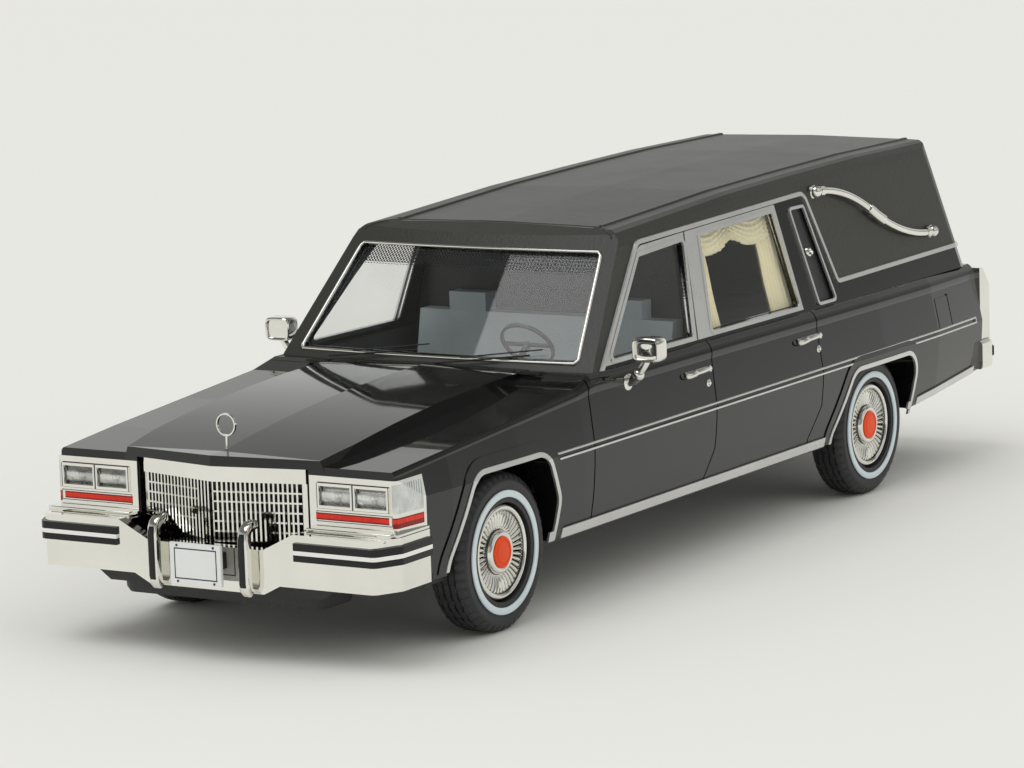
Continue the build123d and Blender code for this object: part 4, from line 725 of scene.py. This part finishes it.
class HEARSE_OT_covers(bpy.types.Operator):
    """Turn the wheel covers with their radial fins, the hub centres and the whitewall rings"""
    bl_idname = "hearse.covers"
    bl_label = "Turn the wheel covers"

    def execute(self, context):
        cover = ((0.0, 5.2), (0.45, 5.19), (0.72, 5.12), (0.9, 4.98), (0.98, 4.8), (0.98, 4.62),
                 (0.9, 4.5), (0.74, 4.42), (0.62, 4.34), (0.6, 4.2), (0.56, 3.7), (0.48, 3.15), (0.42, 2.8),
                 (0.36, 2.6), (0.36, 2.45), (0.5, 2.38), (0.78, 2.28), (0.92, 2.18), (0.96, 2.05),
                 (0.96, 1.86), (0.9, 1.74), (0.9, 0.0), (0.0, 0.0))
        centre = ((0.0, 1.7), (0.14, 1.7), (0.22, 1.6), (0.22, 1.42), (0.14, 1.36), (0.14, 1.2),
                  (0.22, 1.12), (0.25, 0.7), (0.26, 0.0), (0.0, 0.0))
        ring = ((0.0, 6.6), (0.13, 6.58), (0.17, 6.5), (0.17, 5.94), (0.13, 5.86), (0.0, 5.84))
        fin_rise = (-0.26, -0.02, 0.12, 0.16, 0.12, -0.02)
        fins = settings("hearse_wheels").fins

        def relief(index, step, out, radius):
            on_fins = 9 <= index <= 12
            return out + (fin_rise[step % len(fin_rise)] if on_fins else 0.0), radius

        for place in wheel_places():
            add_wheel_piece(place, "finned_covers", COVER_X, cover, len(fin_rise) * fins, 50, "bright_trim",
                            "wheel_covers", relief, cover_material(*place, fins))
            add_wheel_piece(place, "hub_centres", HUB_X, centre, 48, 40, "hub_orange", "hub_discs")
            add_wheel_piece(place, "whitewall_rings", WHITEWALL_X, ring, 120, 40, "whitewall", "whitewalls")
        return {"FINISHED"}


def cloth(bm, side, y_from, y_to, low, high, columns, fold, rows=24):
    """One hung cloth behind a leaning window: low and high give its edges for a share across."""
    grid = []
    for i in range(columns + 1):
        across = i / columns
        y = y_from + across * (y_to - y_from)
        column = []
        for j in range(rows + 1):
            up = j / rows
            z = low(across) + up * (high(across) - low(across))
            column.append(corner(bm, side * (house_x(z) - fold(across, up)), y, z))
        grid.append(column)
    join_rings(bm, grid, closed=False, capped=False)


class HEARSE_OT_drapes(bpy.types.Operator):
    """Hang the window drapes: gathered side curtains under a valance in swags"""
    bl_idname = "hearse.drapes"
    bl_label = "Hang the drapes"

    def execute(self, context):
        s = settings("hearse_cabin")
        bm = bmesh.new()
        front, rear, bottom, top = 0.25, 22.2, 24.6, 37.0
        front_width, rear_width, swag_z = 4.3, 5.2, 34.5

        def gathered(across, up):
            return 1.62 - 0.2 * math.cos(2 * math.pi * s.folds * across) - 0.05 * math.cos(9.0 * up)

        def swagged(across, up):
            swing = abs(math.sin(2 * math.pi * across))
            waves = 0.1 * math.cos(2 * math.pi * (6.5 * up + 1.5 * swing))
            return 1.38 - waves - 0.12 * math.cos(2 * math.pi * 22 * across) * (1 - up)

        def swag_edge(across):
            return swag_z - s.swag / MM * abs(math.sin(2 * math.pi * across))

        for side in (-1, 1):
            cloth(bm, side, front, front + front_width, lambda a: bottom, lambda a: 35.4, 60, gathered)
            cloth(bm, side, rear - rear_width, rear, lambda a: bottom, lambda a: 35.6, 66, gathered)
            cloth(bm, side, front, rear, swag_edge, lambda a: top, 220, swagged)
        piece = add_piece(bm, "folded_drapes", 60, "drape_cream", ("window_drapes",))
        thicken(piece, 0.14)
        return {"FINISHED"}


class HEARSE_OT_fittings(bpy.types.Operator):
    """Fit the small pieces: locks, lamp knobs, wipers, cowl louvres and plate bolts"""
    bl_idname = "hearse.fittings"
    bl_label = "Fit the small pieces"

    def execute(self, context):
        bm = bmesh.new()
        lamp_y, lamp_z = 27.0, 31.0
        for side in (-1, 1):
            for y, z in ((-3.75, 19.95), (23.2, 20.0)):
                place = (side * (side_x(z) - 0.1), y, z)
                knob(bm, place, 0.46, 0.22, side)
                knob(bm, place, 0.26, 0.36, side)
            place = (side * (house_x(lamp_z) - 0.55), lamp_y, lamp_z)
            knob(bm, place, 0.62, 0.75, side)
            knob(bm, place, 0.3, 1.05, side)
        add_piece(bm, "locks_and_lamp_knobs", 35, "bright_trim")
        bm = bmesh.new()
        for x_from, x_to in ((-13.5, -2.0), (1.0, 12.5)):
            reach = x_to - x_from
            rod(bm, [screen_point(x_from + reach * t, 24.75 + 1.2 * t, 0.55 + 0.1 * math.sin(3 * t))
                     for t in (0.0, 0.25, 0.5, 0.75, 1.0)], 0.1, 8)
            rod(bm, [screen_point(x_from + reach * t, 25.05 + 1.35 * t, 0.3)
                     for t in (0.25, 0.45, 0.65, 0.85, 1.1)], 0.09, 6)
        louvres, louvre_pitch, louvre_half = 9, 3.5, 1.4
        for row in range(louvres):
            x = louvre_pitch * (row - (louvres - 1) / 2)
            box(bm, (x - louvre_half, -29.6, 24.3), (x + louvre_half, -29.3, 24.55))
            box(bm, (x - louvre_half, -29.1, 24.3), (x + louvre_half, -28.8, 24.6))
        for face_y, (low, high), depth in ((-72.9, FRONT_PLATE_Z, -0.05), (69.25, REAR_PLATE_Z, 0.05)):
            for x in (-2.3, 2.3):
                for z in (low + 0.27, high - 0.27):
                    rod(bm, [(x, face_y + depth * share, z) for share in (-1.0, 0.6, 1.0)], 0.13, 12)
        add_piece(bm, "wipers_louvres_and_bolts", 35, "cabin_black", material=MATERIALS["base_black"])
        return {"FINISHED"}


class HEARSE_OT_landau(bpy.types.Operator):
    """Bend the rounded landau bars between their end knobs"""
    bl_idname = "hearse.landau"
    bl_label = "Bend the landau bars"

    def execute(self, context):
        s = settings("hearse_roof")
        (y_from, z_from), (y_to, z_to) = s.landau_front, s.landau_rear
        y_mid, z_mid = (y_from + y_to) / 2, (z_from + z_to) / 2 - 0.3
        steps = 16
        route = []
        for y_end, z_end, sign in ((y_from, z_from, 1), (y_to, z_to, -1)):
            run, fall = abs(y_mid - y_end), abs(z_mid - z_end)
            radius = (run ** 2 + fall ** 2) / (2 * fall)
            sweep = math.asin(run / radius)
            arc = [(y_end + sign * radius * math.sin(sweep * k / steps),
                    z_end - sign * radius * (1 - math.cos(sweep * k / steps))) for k in range(steps + 1)]
            route += arc if sign > 0 else arc[-2::-1]
        bm = bmesh.new()
        for side in (-1, 1):
            points = [(side * (house_x(z) + 0.68), y, z) for y, z in route]
            rod(bm, points, 0.3, 14, 1.45)
            for y, z in (route[0], route[-1]):
                ball(bm, (side * (house_x(z) + 0.62), y, z), 0.72)
                knob(bm, (side * (house_x(z) + 0.02), y, z), 0.8, 0.4, side)
            rod(bm, points[steps - 2:steps + 3], 0.46, 16, 1.35)
            rod(bm, points[1:3], 0.4, 16, 1.5)
            rod(bm, points[-3:-1], 0.4, 16, 1.5)
            knob(bm, (side * house_x(z_mid), y_mid, z_mid), 0.42, 0.6, side)
        add_piece(bm, "rounded_landau_bars", 40, "bright_trim", ("landau_bars",))
        return {"FINISHED"}


# Headlamps, in mm: where each lens starts, its size, and its face along Y
LENS_STARTS_X, LENS_WIDTH = (12.25, 16.65), 3.8
LENS_MIDDLE_Z, LENS_HALF_HEIGHT, LENS_FACE_Y = 17.5, 0.98, -67.62


class HEARSE_OT_lamps(bpy.types.Operator):
    """Fit the headlamps with bowls, bulbs and fluted lenses"""
    bl_idname = "hearse.lamps"
    bl_label = "Fit the lamps"

    def execute(self, context):
        bowls, lenses, bezels = bmesh.new(), bmesh.new(), bmesh.new()
        rim_radius, flutes = 0.28, 26
        for side in (-1, 1):
            for x_from in LENS_STARTS_X:
                middle_x = x_from + LENS_WIDTH / 2
                grid = []
                for u in (i / 8 - 1 for i in range(17)):
                    grid.append([corner(bowls, side * (middle_x + 1.88 * u),
                                        -67.08 - 0.44 * min(1.0, (u * u + 0.7 * v * v) / 1.2),
                                        LENS_MIDDLE_Z + LENS_HALF_HEIGHT * v)
                                 for v in (j / 5 - 1 for j in range(11))])
                join_rings(bowls, grid, closed=False, capped=False)
                ball(bowls, (side * middle_x, -67.28, LENS_MIDDLE_Z), 0.3)
                box(bowls, (side * middle_x - 0.5, -67.4, 17.42), (side * middle_x + 0.5, -67.3, 17.58))
                rim = []
                for x, z, turn in ((3.6, 16.6, -90), (3.6, 18.4, 0), (0.2, 18.4, 90), (0.2, 16.6, 180)):
                    for k in range(5):
                        angle = math.radians(turn + 22.5 * k)
                        rim.append((x_from + x + rim_radius * math.cos(angle), -67.68,
                                    z + rim_radius * math.sin(angle)))
                rod(bezels, mirrored(rim + rim[:1], side), 0.13, 10)
                front = [(side * (x_from + 0.02 + (LENS_WIDTH - 0.04) * i / (flutes * 2)),
                          LENS_FACE_Y - 0.035 * (i % 2)) for i in range(flutes * 2 + 1)]
                join_rings(lenses, [[corner(lenses, x, y, LENS_MIDDLE_Z + end * LENS_HALF_HEIGHT)
                                     for end in (-1, 1)] for x, y in front], closed=False, capped=False)
        add_piece(bezels, "headlamp_bezels", 50, "bright_trim")
        add_piece(bowls, "headlamp_bowls", 50, "lamp_glass", material=MATERIALS["lamp_reflector"])
        piece = add_piece(lenses, "headlamp_lenses", 20, "lamp_glass", ("headlamps",),
                          material=MATERIALS["clear_glazing"])
        thicken(piece, 0.06)
        return {"FINISHED"}


class HEARSE_OT_grille(bpy.types.Operator):
    """Lay the fine level and upright bars across the face of the grille"""
    bl_idname = "hearse.grille"
    bl_label = "Face the grille"

    def execute(self, context):
        bm = bmesh.new()
        bottom_z, top_z, half_width = 11.15, 18.4, 9.72
        nose_y, vee_slope = -69.4, 2.3 / 10.3
        rows, row_pitch, columns, column_pitch = 7, 1.0357, 19, 9.67 / 19

        def bar(side, x_from, x_to, z_from, z_to, proud):
            ends = []
            for x in (x_from, x_to):
                face = nose_y + x * vee_slope
                ends.append([corner(bm, side * x, y, z)
                             for y, z in ((face - proud, z_from), (face - proud, z_to), (face + 0.2, z_to),
                                          (face + 0.2, z_from))])
            join_rings(bm, ends)

        for side in (-1, 1):
            for row in range(1, rows):
                z = bottom_z + row * row_pitch
                bar(side, 0.0, half_width, z - 0.09, z + 0.09, 0.07)
            for column in range(1, columns):
                x = 0.08 + column * column_pitch
                bar(side, x - 0.1, x + 0.1, bottom_z, top_z, 0.1)
        add_piece(bm, "grille_face", 50, "bright_trim")
        return {"FINISHED"}


class HEARSE_OT_mirrors(bpy.types.Operator):
    """Cast the door mirrors: a rimmed and dished head on a jointed foot"""
    bl_idname = "hearse.mirrors"
    bl_label = "Cast the door mirrors"

    def execute(self, context):
        sections = ((-20.5, 0.0), (-20.5, 0.84), (-20.35, 0.89), (-20.32, 0.96), (-20.45, 1.0),
                    (-21.85, 1.0), (-22.12, 0.96), (-22.22, 0.88), (-22.16, 0.8), (-21.9, 0.74),
                    (-21.82, 0.5), (-21.9, 0.25), (-21.95, 0.0))
        head_x, head_z, half_width, half_height, squareness, count = 24.5, 26.45, 1.75, 1.38, 0.42, 40
        arm = ((24.3, -21.3, 25.4), (24.0, -21.35, 24.8), (23.4, -21.3, 24.0), (22.9, -21.2, 23.5))
        foot = ((23.3, -21.4, 23.7), (22.5, -21.1, 23.0), (21.3, -20.9, 22.6))
        bm = bmesh.new()

        def squared(value):
            return math.copysign(abs(value) ** squareness, value)

        for side in (-1, 1):
            rings = []
            for y, scale in sections:
                rings.append([corner(bm, side * (head_x + squared(math.cos(a)) * half_width * scale), y,
                                     head_z + squared(math.sin(a)) * half_height * scale)
                              for a in (2 * math.pi * k / count for k in range(count))])
            join_rings(bm, rings, capped=False)
            rod(bm, mirrored(arm, side), 0.44, 14)
            rod(bm, mirrored(foot, side), 0.6, 16)
            ball(bm, (side * 23.1, -21.3, 23.55), 0.66)
            knob(bm, (side * 21.3, -20.95, 22.6), 0.95, 0.45, side, 28)
        add_piece(bm, "dished_mirrors", 35, "bright_trim", ("door_mirrors",))
        return {"FINISHED"}


class HEARSE_OT_handles(bpy.types.Operator):
    """Fit the door pulls, the tailgate pull and the bars across the tail lamps"""
    bl_idname = "hearse.handles"
    bl_label = "Fit the handles"

    def execute(self, context):
        handle_z = 21.5
        bm = bmesh.new()

        # Rods of a door pull: places of (along, out, rise), then radius, count and flatness
        rods = ((((0.15, 0.02, 0.0), (0.4, 0.06, 0.0), (5.8, 0.06, 0.0), (6.1, 0.02, 0.0)), 0.3, 12, 1.3),
                (((0.35, 0.2, -0.05), (0.7, 0.42, -0.05), (1.7, 0.46, 0.0), (2.2, 0.36, 0.0)),
                 0.42, 18, 0.95),
                (((1.9, 0.4, 0.0), (3.2, 0.5, 0.06), (5.0, 0.5, 0.1), (5.75, 0.34, 0.08)), 0.24, 12, 1.2),
                (((5.5, 0.0, 0.0), (5.5, 0.5, 0.08)), 0.34, 14, 1.0))
        for side in (-1, 1):
            for start in (-9.0, 18.0):
                for places, *section in rods:
                    rod(bm, [(side * (side_x(handle_z + rise) + out), start + along, handle_z + rise)
                             for along, out, rise in places], *section)
        add_piece(bm, "door_pulls", 40, "bright_trim", ("door_handles",))
        bm = bmesh.new()
        rod(bm, [(11.0, 68.9, 21.75), (11.2, 69.2, 21.75), (13.9, 69.2, 21.75), (14.1, 68.9, 21.75)],
            0.3, 14, 1.4)
        rod(bm, [(11.5, 69.25, 21.85), (11.9, 69.4, 21.85), (13.2, 69.4, 21.85), (13.6, 69.25, 21.85)],
            0.2, 12, 1.3)
        add_piece(bm, "tailgate_pull", 40, "bright_trim", ("tailgate_handle",))
        bm = bmesh.new()
        for side in (-1, 1):
            for z in (16.95, 18.8):
                box(bm, *mirrored(((18.5, 71.85, z - 0.07), (21.05, 72.0, z + 0.07)), side))
        add_piece(bm, "tail_lamp_bars", 30, "bright_trim")
        return {"FINISHED"}


def swept(bm, route, section):
    """Sweeps a section of (out, height) points along a plan route of (x, y, out_x, out_y), in mm."""
    join_rings(bm, [[corner(bm, x + out * nx, y + out * ny, z) for out, z in section]
                    for x, y, nx, ny in route])


def rounded_end(half_width, start, end, radius, steps=10):
    """A plan route round the back of the car, with rounded corners."""
    right = [(half_width, start, 1.0, 0.0), (half_width, end - radius, 1.0, 0.0)]
    for k in range(1, steps):
        angle = math.pi / 2 * k / steps
        nx, ny = math.cos(angle), math.sin(angle)
        right.append((half_width - radius + radius * nx, end - radius + radius * ny, nx, ny))
    right.append((half_width - radius, end, 0.0, 1.0))
    left = [(-x, y, -nx, ny) for x, y, nx, ny in reversed(right)]
    return right + left


def hook(bm, centre, line, half, thick):
    """Sweeps a slab with eased edges along a line of (y, z) points, in mm, at a place across."""
    section = ((-1, -1), (-1, 0.6), (-0.85, 0.9), (-0.6, 1), (0.6, 1), (0.85, 0.9), (1, 0.6), (1, -1))
    rings = []
    for index, (y, z) in enumerate(line):
        before, after = line[max(index - 1, 0)], line[min(index + 1, len(line) - 1)]
        ahead = Vector((after[0] - before[0], after[1] - before[1])).normalized()
        rings.append([corner(bm, centre + u * half, y - v * thick * ahead[1], z + v * thick * ahead[0])
                      for u, v in section])
    join_rings(bm, rings)


class HEARSE_OT_bumpers(bpy.types.Operator):
    """Form the overriders, bumper shelves, rear bumper with its rubber, and apron under the nose"""
    bl_idname = "hearse.bumpers"
    bl_label = "Form the bumpers"

    def execute(self, context):
        hooks, rubbers = bmesh.new(), bmesh.new()
        spine = ((-71.7, 7.5), (-72.1, 7.9), (-72.25, 8.6), (-72.25, 12.9), (-72.15, 13.6), (-71.85, 14.15),
                 (-71.3, 14.45), (-70.4, 14.55))
        face = ((-72.55, 8.3), (-72.68, 8.6), (-72.68, 12.8), (-72.6, 13.3), (-72.4, 13.75))
        for centre in (-5.7, 5.7):
            hook(hooks, centre, spine, 0.58, 0.42)
            hook(rubbers, centre, face, 0.36, 0.16)
        add_piece(hooks, "hooked_overriders", 40, "bright_trim", ("overriders",))
        add_piece(rubbers, "overrider_rubbers", 40, "black_rubber", ("overrider_pads",))
        bm = bmesh.new()
        for side in (-1, 1):
            for low, high in (((10.7, -70.0, 13.55), (21.5, -67.75, 13.8)),
                              ((11.2, -69.0, 13.8), (21.6, -68.2, 14.25))):
                box(bm, *mirrored((low, high), side))
        bevel(add_piece(bm, "bumper_shelves", 30, "bright_trim"), 0.1)
        half_width, back_y, corner_radius = 22.2, 72.75, 2.3
        bm = bmesh.new()
        swept(bm, rounded_end(half_width, 68.0, back_y, corner_radius),
              ((-1.1, 10.95), (-0.35, 10.9), (-0.08, 11.05), (0.0, 11.4), (0.0, 14.0), (-0.1, 14.35),
               (-0.4, 14.58), (-1.1, 14.6)))
        add_piece(bm, "rounded_rear_bumper", 30, "bright_trim", ("rear_bumper",))
        bm = bmesh.new()
        swept(bm, rounded_end(half_width, 71.4, back_y, corner_radius)[4:-4],
              ((-0.1, 12.2), (0.14, 12.25), (0.2, 12.4), (0.2, 13.4), (0.14, 13.55), (-0.1, 13.6)))
        add_piece(bm, "rear_bumper_rubber", 30, "black_rubber")
        bm = bmesh.new()
        front = [(x, -y, nx, -ny) for x, y, nx, ny in rounded_end(12.9, 63.5, 68.9, 1.8)]
        swept(bm, front, ((-3.0, 5.7), (-0.9, 5.55), (-0.3, 5.7), (0.0, 6.2), (0.2, 8.3), (-3.0, 8.3)))
        add_piece(bm, "nose_apron", 30, "base_black")
        return {"FINISHED"}


class HEARSE_OT_window_trim(bpy.types.Operator):
    """Lay the silver foil of the door frames and the bead round the windscreen"""
    bl_idname = "hearse.window_trim"
    bl_label = "Trim the windows"

    def execute(self, context):
        bm = bmesh.new()
        panels = (
            (((-24.0, 24.75), (-12.3, 35.78), (-11.8, 36.18), (-11.2, 36.4), (-1.3, 36.74), (-3.55, 24.75)),
             ((-22.85, 25.15), (-12.2, 35.42), (-1.68, 35.93), (-4.0, 25.15))),
            (((-3.25, 24.75), (-1.0, 36.75), (20.9, 37.36), (22.4, 24.75)),
             ((0.15, 25.15), (2.08, 36.13), (20.1, 36.64), (21.72, 25.15))),
        )
        for side in (-1, 1):
            for loops in panels:
                corners = [corner(bm, side * (house_x(z) + FOIL_PROUD), y, z)
                           for loop in loops for y, z in loop]
                flat = [[Vector((y, z, 0.0)) for y, z in loop] for loop in loops]
                for triangle in tessellate_polygon(flat):
                    bm.faces.new([corners[k] for k in triangle])
        thicken(add_piece(bm, "door_frame_foil", None, "brushed_trim"), 0.2, 0.0)
        (low_x, low_z), (high_x, high_z) = (18.3, 25.24), (15.95, 36.26)
        corners = ((-low_x, low_z), (low_x, low_z), (high_x, high_z), (-high_x, high_z))
        easing, steps = 0.35, 24
        outline = []
        for (x, z), (x_to, z_to) in zip(corners, corners[1:] + corners[:1]):
            length = math.hypot(x_to - x, z_to - z)
            for k in range(steps + 1):
                t = (easing + (length - 2 * easing) * k / steps) / length
                outline.append(screen_point(x + (x_to - x) * t, z + (z_to - z) * t, 0.02))
        bm = bmesh.new()
        rod(bm, outline + outline[:1], 0.24, 10, 0.8)
        add_piece(bm, "windscreen_bead", 50, "bright_trim", ("windscreen_trim",))
        return {"FINISHED"}


class HEARSE_OT_roof(bpy.types.Operator):
    """Stitch the seams of the roof covering"""
    bl_idname = "hearse.roof"
    bl_label = "Stitch the roof seams"

    def execute(self, context):
        context.view_layer.update()
        roof = frame["nodes"]["roof_shell"]
        above, down = 60.0, Vector((0, 0, -1))
        bm = bmesh.new()

        def seam(points, radius):
            """Lays a thread where rays from above meet the roof."""
            hits = [roof.ray_cast(Vector((x, y, above)) * MM, down) for x, y in points]
            route = [place / MM for hit, place, normal, index in hits if hit]
            if len(route) > 1:
                rod(bm, route, radius, 6, 0.6)

        for side in (-1, 1):
            seam([(side * (13.4 + 3.1 * t), -12.2 - 2.9 * t) for t in (k / 14 for k in range(15))], 0.14)
            seam([(side * 0.2 * k, 64.6) for k in range(74)], 0.13)
        seam([(0.25 * k - 13.2, -12.3) for k in range(106)], 0.1)
        add_piece(bm, "roof_seams", 50, "grained_roof")
        return {"FINISHED"}


class HEARSE_OT_underside(bpy.types.Operator):
    """Lay the moulded running gear on the base plate"""
    bl_idname = "hearse.underside"
    bl_label = "Mould the underside"

    def execute(self, context):
        bm = bmesh.new()
        pipe_x, pipe_z = -5.4, 6.95
        rod(bm, [(pipe_x, y, pipe_z) for y in (-42.0, -20.0, 0.0, 10.0)], 0.5, 12)
        rod(bm, [(pipe_x, 10.0, 6.9), (-5.6, 12.0, 6.9), (-5.6, 24.0, 6.9), (pipe_x, 26.0, 6.9)],
            0.95, 16, 0.6)
        rod(bm, [(pipe_x, 26.0, pipe_z), (pipe_x, 34.0, pipe_z)], 0.45, 12)
        rod(bm, [(0.0, -28.0, 7.0), (0.0, 8.0, 7.0)], 0.42, 12)
        box(bm, (-3.2, -44.5, 6.75), (3.2, -37.0, 7.2))
        box(bm, (-2.2, -36.8, 6.85), (2.2, -29.0, 7.2))
        for x in (-12.6, 12.6):
            for y in (-8.0, 0.0, 8.0):
                box(bm, (x - 1.3, y - 2.6, 6.9), (x + 1.3, y + 2.6, 7.2))
        bevel(add_piece(bm, "running_gear_relief", 35, "base_black"), 0.12)
        return {"FINISHED"}


def sun_lamp(name, toward, spread_angle, power):
    data = bpy.data.lights.new(name, "SUN")
    data.energy = power
    data.angle = math.radians(spread_angle)
    lamp = link_object(name, data)
    lamp.rotation_mode = "QUATERNION"
    lamp.rotation_quaternion = Vector(toward).to_track_quat("Z", "Y")


# The room, its lamps and the camera
FLOOR_HALF_SIZE = 6.0
FLOOR_ROUGHNESS = 0.9
ROOM_LIGHT = (1.0, 0.98, 0.93, 1.0)
ROOM_STRENGTH = 0.7
SIDE_DARKNESS = 0.85
SUN_LAMPS = (("key", (-0.16, -0.3, 0.94), 42.0, 0.8), ("fill", (0.9, 0.2, 0.8), 60.0, 0.3))
SENSOR_WIDTH = 36.0
LENS_SHIFT = (0.0013, -0.0097)
CLIP_RANGE = (0.01, 50.0)


class HEARSE_OT_stage(bpy.types.Operator):
    """Set the floor, the backdrop, the lamps and the camera"""
    bl_idname = "hearse.stage"
    bl_label = "Set the stage"

    def execute(self, context):
        s = settings("hearse_view")
        scene = context.scene
        scene.view_settings.view_transform = "Standard"
        bm = bmesh.new()
        bmesh.ops.create_grid(bm, x_segments=8, y_segments=8, size=FLOOR_HALF_SIZE)
        floor = link_object("floor", finish_bmesh(bm, "floor"))
        material, tree, shader = blank_material("Pale floor")
        fill(tree, shader, {"Base Color": (*s.floor_tone, 1.0), "Roughness": FLOOR_ROUGHNESS})
        floor.data.materials.append(material)
        world = bpy.data.worlds.new("Soft room")
        scene.world = world
        world.use_nodes = True
        tree = world.node_tree
        room = tree.nodes["Background"]
        fill(tree, room, {"Color": ROOM_LIGHT, "Strength": ROOM_STRENGTH})
        way = wire(tree, "ShaderNodeTexCoord").outputs["Generated"]
        parts = wire(tree, "ShaderNodeSeparateXYZ", {0: way}).outputs
        upward = spread(tree, parts["Z"], 0.0, 1.0, 0.22, 0.6)
        beside = spread(tree, parts["X"], 0.0, 1.0, 0.0, 0.5)
        low = spread(tree, parts["Z"], 0.0, 1.0, 0.01, 0.09)
        rays = wire(tree, "ShaderNodeLightPath").outputs
        aside = math_node(tree, "MULTIPLY", math_node(tree, "MULTIPLY", beside, low), rays["Is Glossy Ray"])
        dark = math_node(tree, "MAXIMUM", upward, math_node(tree, "MULTIPLY", aside, SIDE_DARKNESS))
        ceiling = mix_color(tree, dark, (*s.floor_tone, 1.0), (*s.ceiling_tone, 1.0))
        seen = wire(tree, "ShaderNodeBackground", {"Color": ceiling, "Strength": 1.0})
        either = math_node(tree, "MAXIMUM", rays["Is Camera Ray"], rays["Is Glossy Ray"])
        either = math_node(tree, "MAXIMUM", either, rays["Is Transmission Ray"])
        mixed = wire(tree, "ShaderNodeMixShader", {0: either, 1: room.outputs[0], 2: seen.outputs[0]})
        tree.links.new(mixed.outputs[0], tree.nodes["World Output"].inputs["Surface"])
        for lamp in SUN_LAMPS:
            sun_lamp(*lamp)
        data = bpy.data.cameras.new("photo view")
        camera = link_object("photo view", data)
        data.lens = s.lens
        data.sensor_width = SENSOR_WIDTH
        data.sensor_fit = "HORIZONTAL"
        data.shift_x, data.shift_y = LENS_SHIFT
        data.clip_start, data.clip_end = CLIP_RANGE
        level = math.cos(s.elevation)
        back = Vector((math.sin(s.azimuth) * level, -math.cos(s.azimuth) * level, math.sin(s.elevation)))
        right = Vector((0, 0, 1)).cross(back).normalized()
        up = back.cross(right)
        turned_right = math.cos(s.roll) * right + math.sin(s.roll) * up
        turned_up = -math.sin(s.roll) * right + math.cos(s.roll) * up
        turn = Matrix((turned_right, turned_up, back)).transposed().to_4x4()
        camera.matrix_world = Matrix.Translation(s.place) @ turn
        scene.camera = camera
        return {"FINISHED"}


class HEARSE_PT_panel(bpy.types.Panel):
    """The model's sizes, colours and pieces"""
    bl_idname = "HEARSE_PT_panel"
    bl_label = "Hearse"
    bl_space_type = "VIEW_3D"
    bl_region_type = "UI"
    bl_category = "Hearse"

    def draw(self, context):
        for group in PROPERTY_GROUPS:
            held = settings(group)
            for key in type(held).__annotations__:
                self.layout.prop(held, key)
        for operator in OPERATORS:
            self.layout.operator(operator.bl_idname)


PROPERTY_GROUPS = {"hearse_colors": HearseColors, "hearse_wheels": HearseWheels,
                   "hearse_cabin": HearseCabin, "hearse_roof": HearseRoof, "hearse_view": HearseView}
OPERATORS = (HEARSE_OT_finishes, HEARSE_OT_tyres, HEARSE_OT_covers, HEARSE_OT_drapes, HEARSE_OT_fittings,
             HEARSE_OT_landau, HEARSE_OT_lamps, HEARSE_OT_grille, HEARSE_OT_mirrors, HEARSE_OT_handles,
             HEARSE_OT_bumpers, HEARSE_OT_window_trim, HEARSE_OT_roof, HEARSE_OT_underside, HEARSE_OT_stage)
CLASSES = (*PROPERTY_GROUPS.values(), *OPERATORS, HEARSE_PT_panel)


def register():
    for cls in CLASSES:
        bpy.utils.register_class(cls)
    for name, group in PROPERTY_GROUPS.items():
        setattr(bpy.types.Scene, name, bpy.props.PointerProperty(type=group))


def unregister():
    for name in PROPERTY_GROUPS:
        delattr(bpy.types.Scene, name)
    for cls in reversed(CLASSES):
        bpy.utils.unregister_class(cls)


def main():
    register()
    bpy.ops.hearse.finishes()
    bpy.ops.hearse.tyres()
    bpy.ops.hearse.covers()
    bpy.ops.hearse.drapes()
    bpy.ops.hearse.fittings()
    bpy.ops.hearse.landau()
    bpy.ops.hearse.lamps()
    bpy.ops.hearse.grille()
    bpy.ops.hearse.mirrors()
    bpy.ops.hearse.handles()
    bpy.ops.hearse.bumpers()
    bpy.ops.hearse.window_trim()
    bpy.ops.hearse.roof()
    bpy.ops.hearse.underside()
    bpy.ops.hearse.stage()


if __name__ == "__main__":
    main()
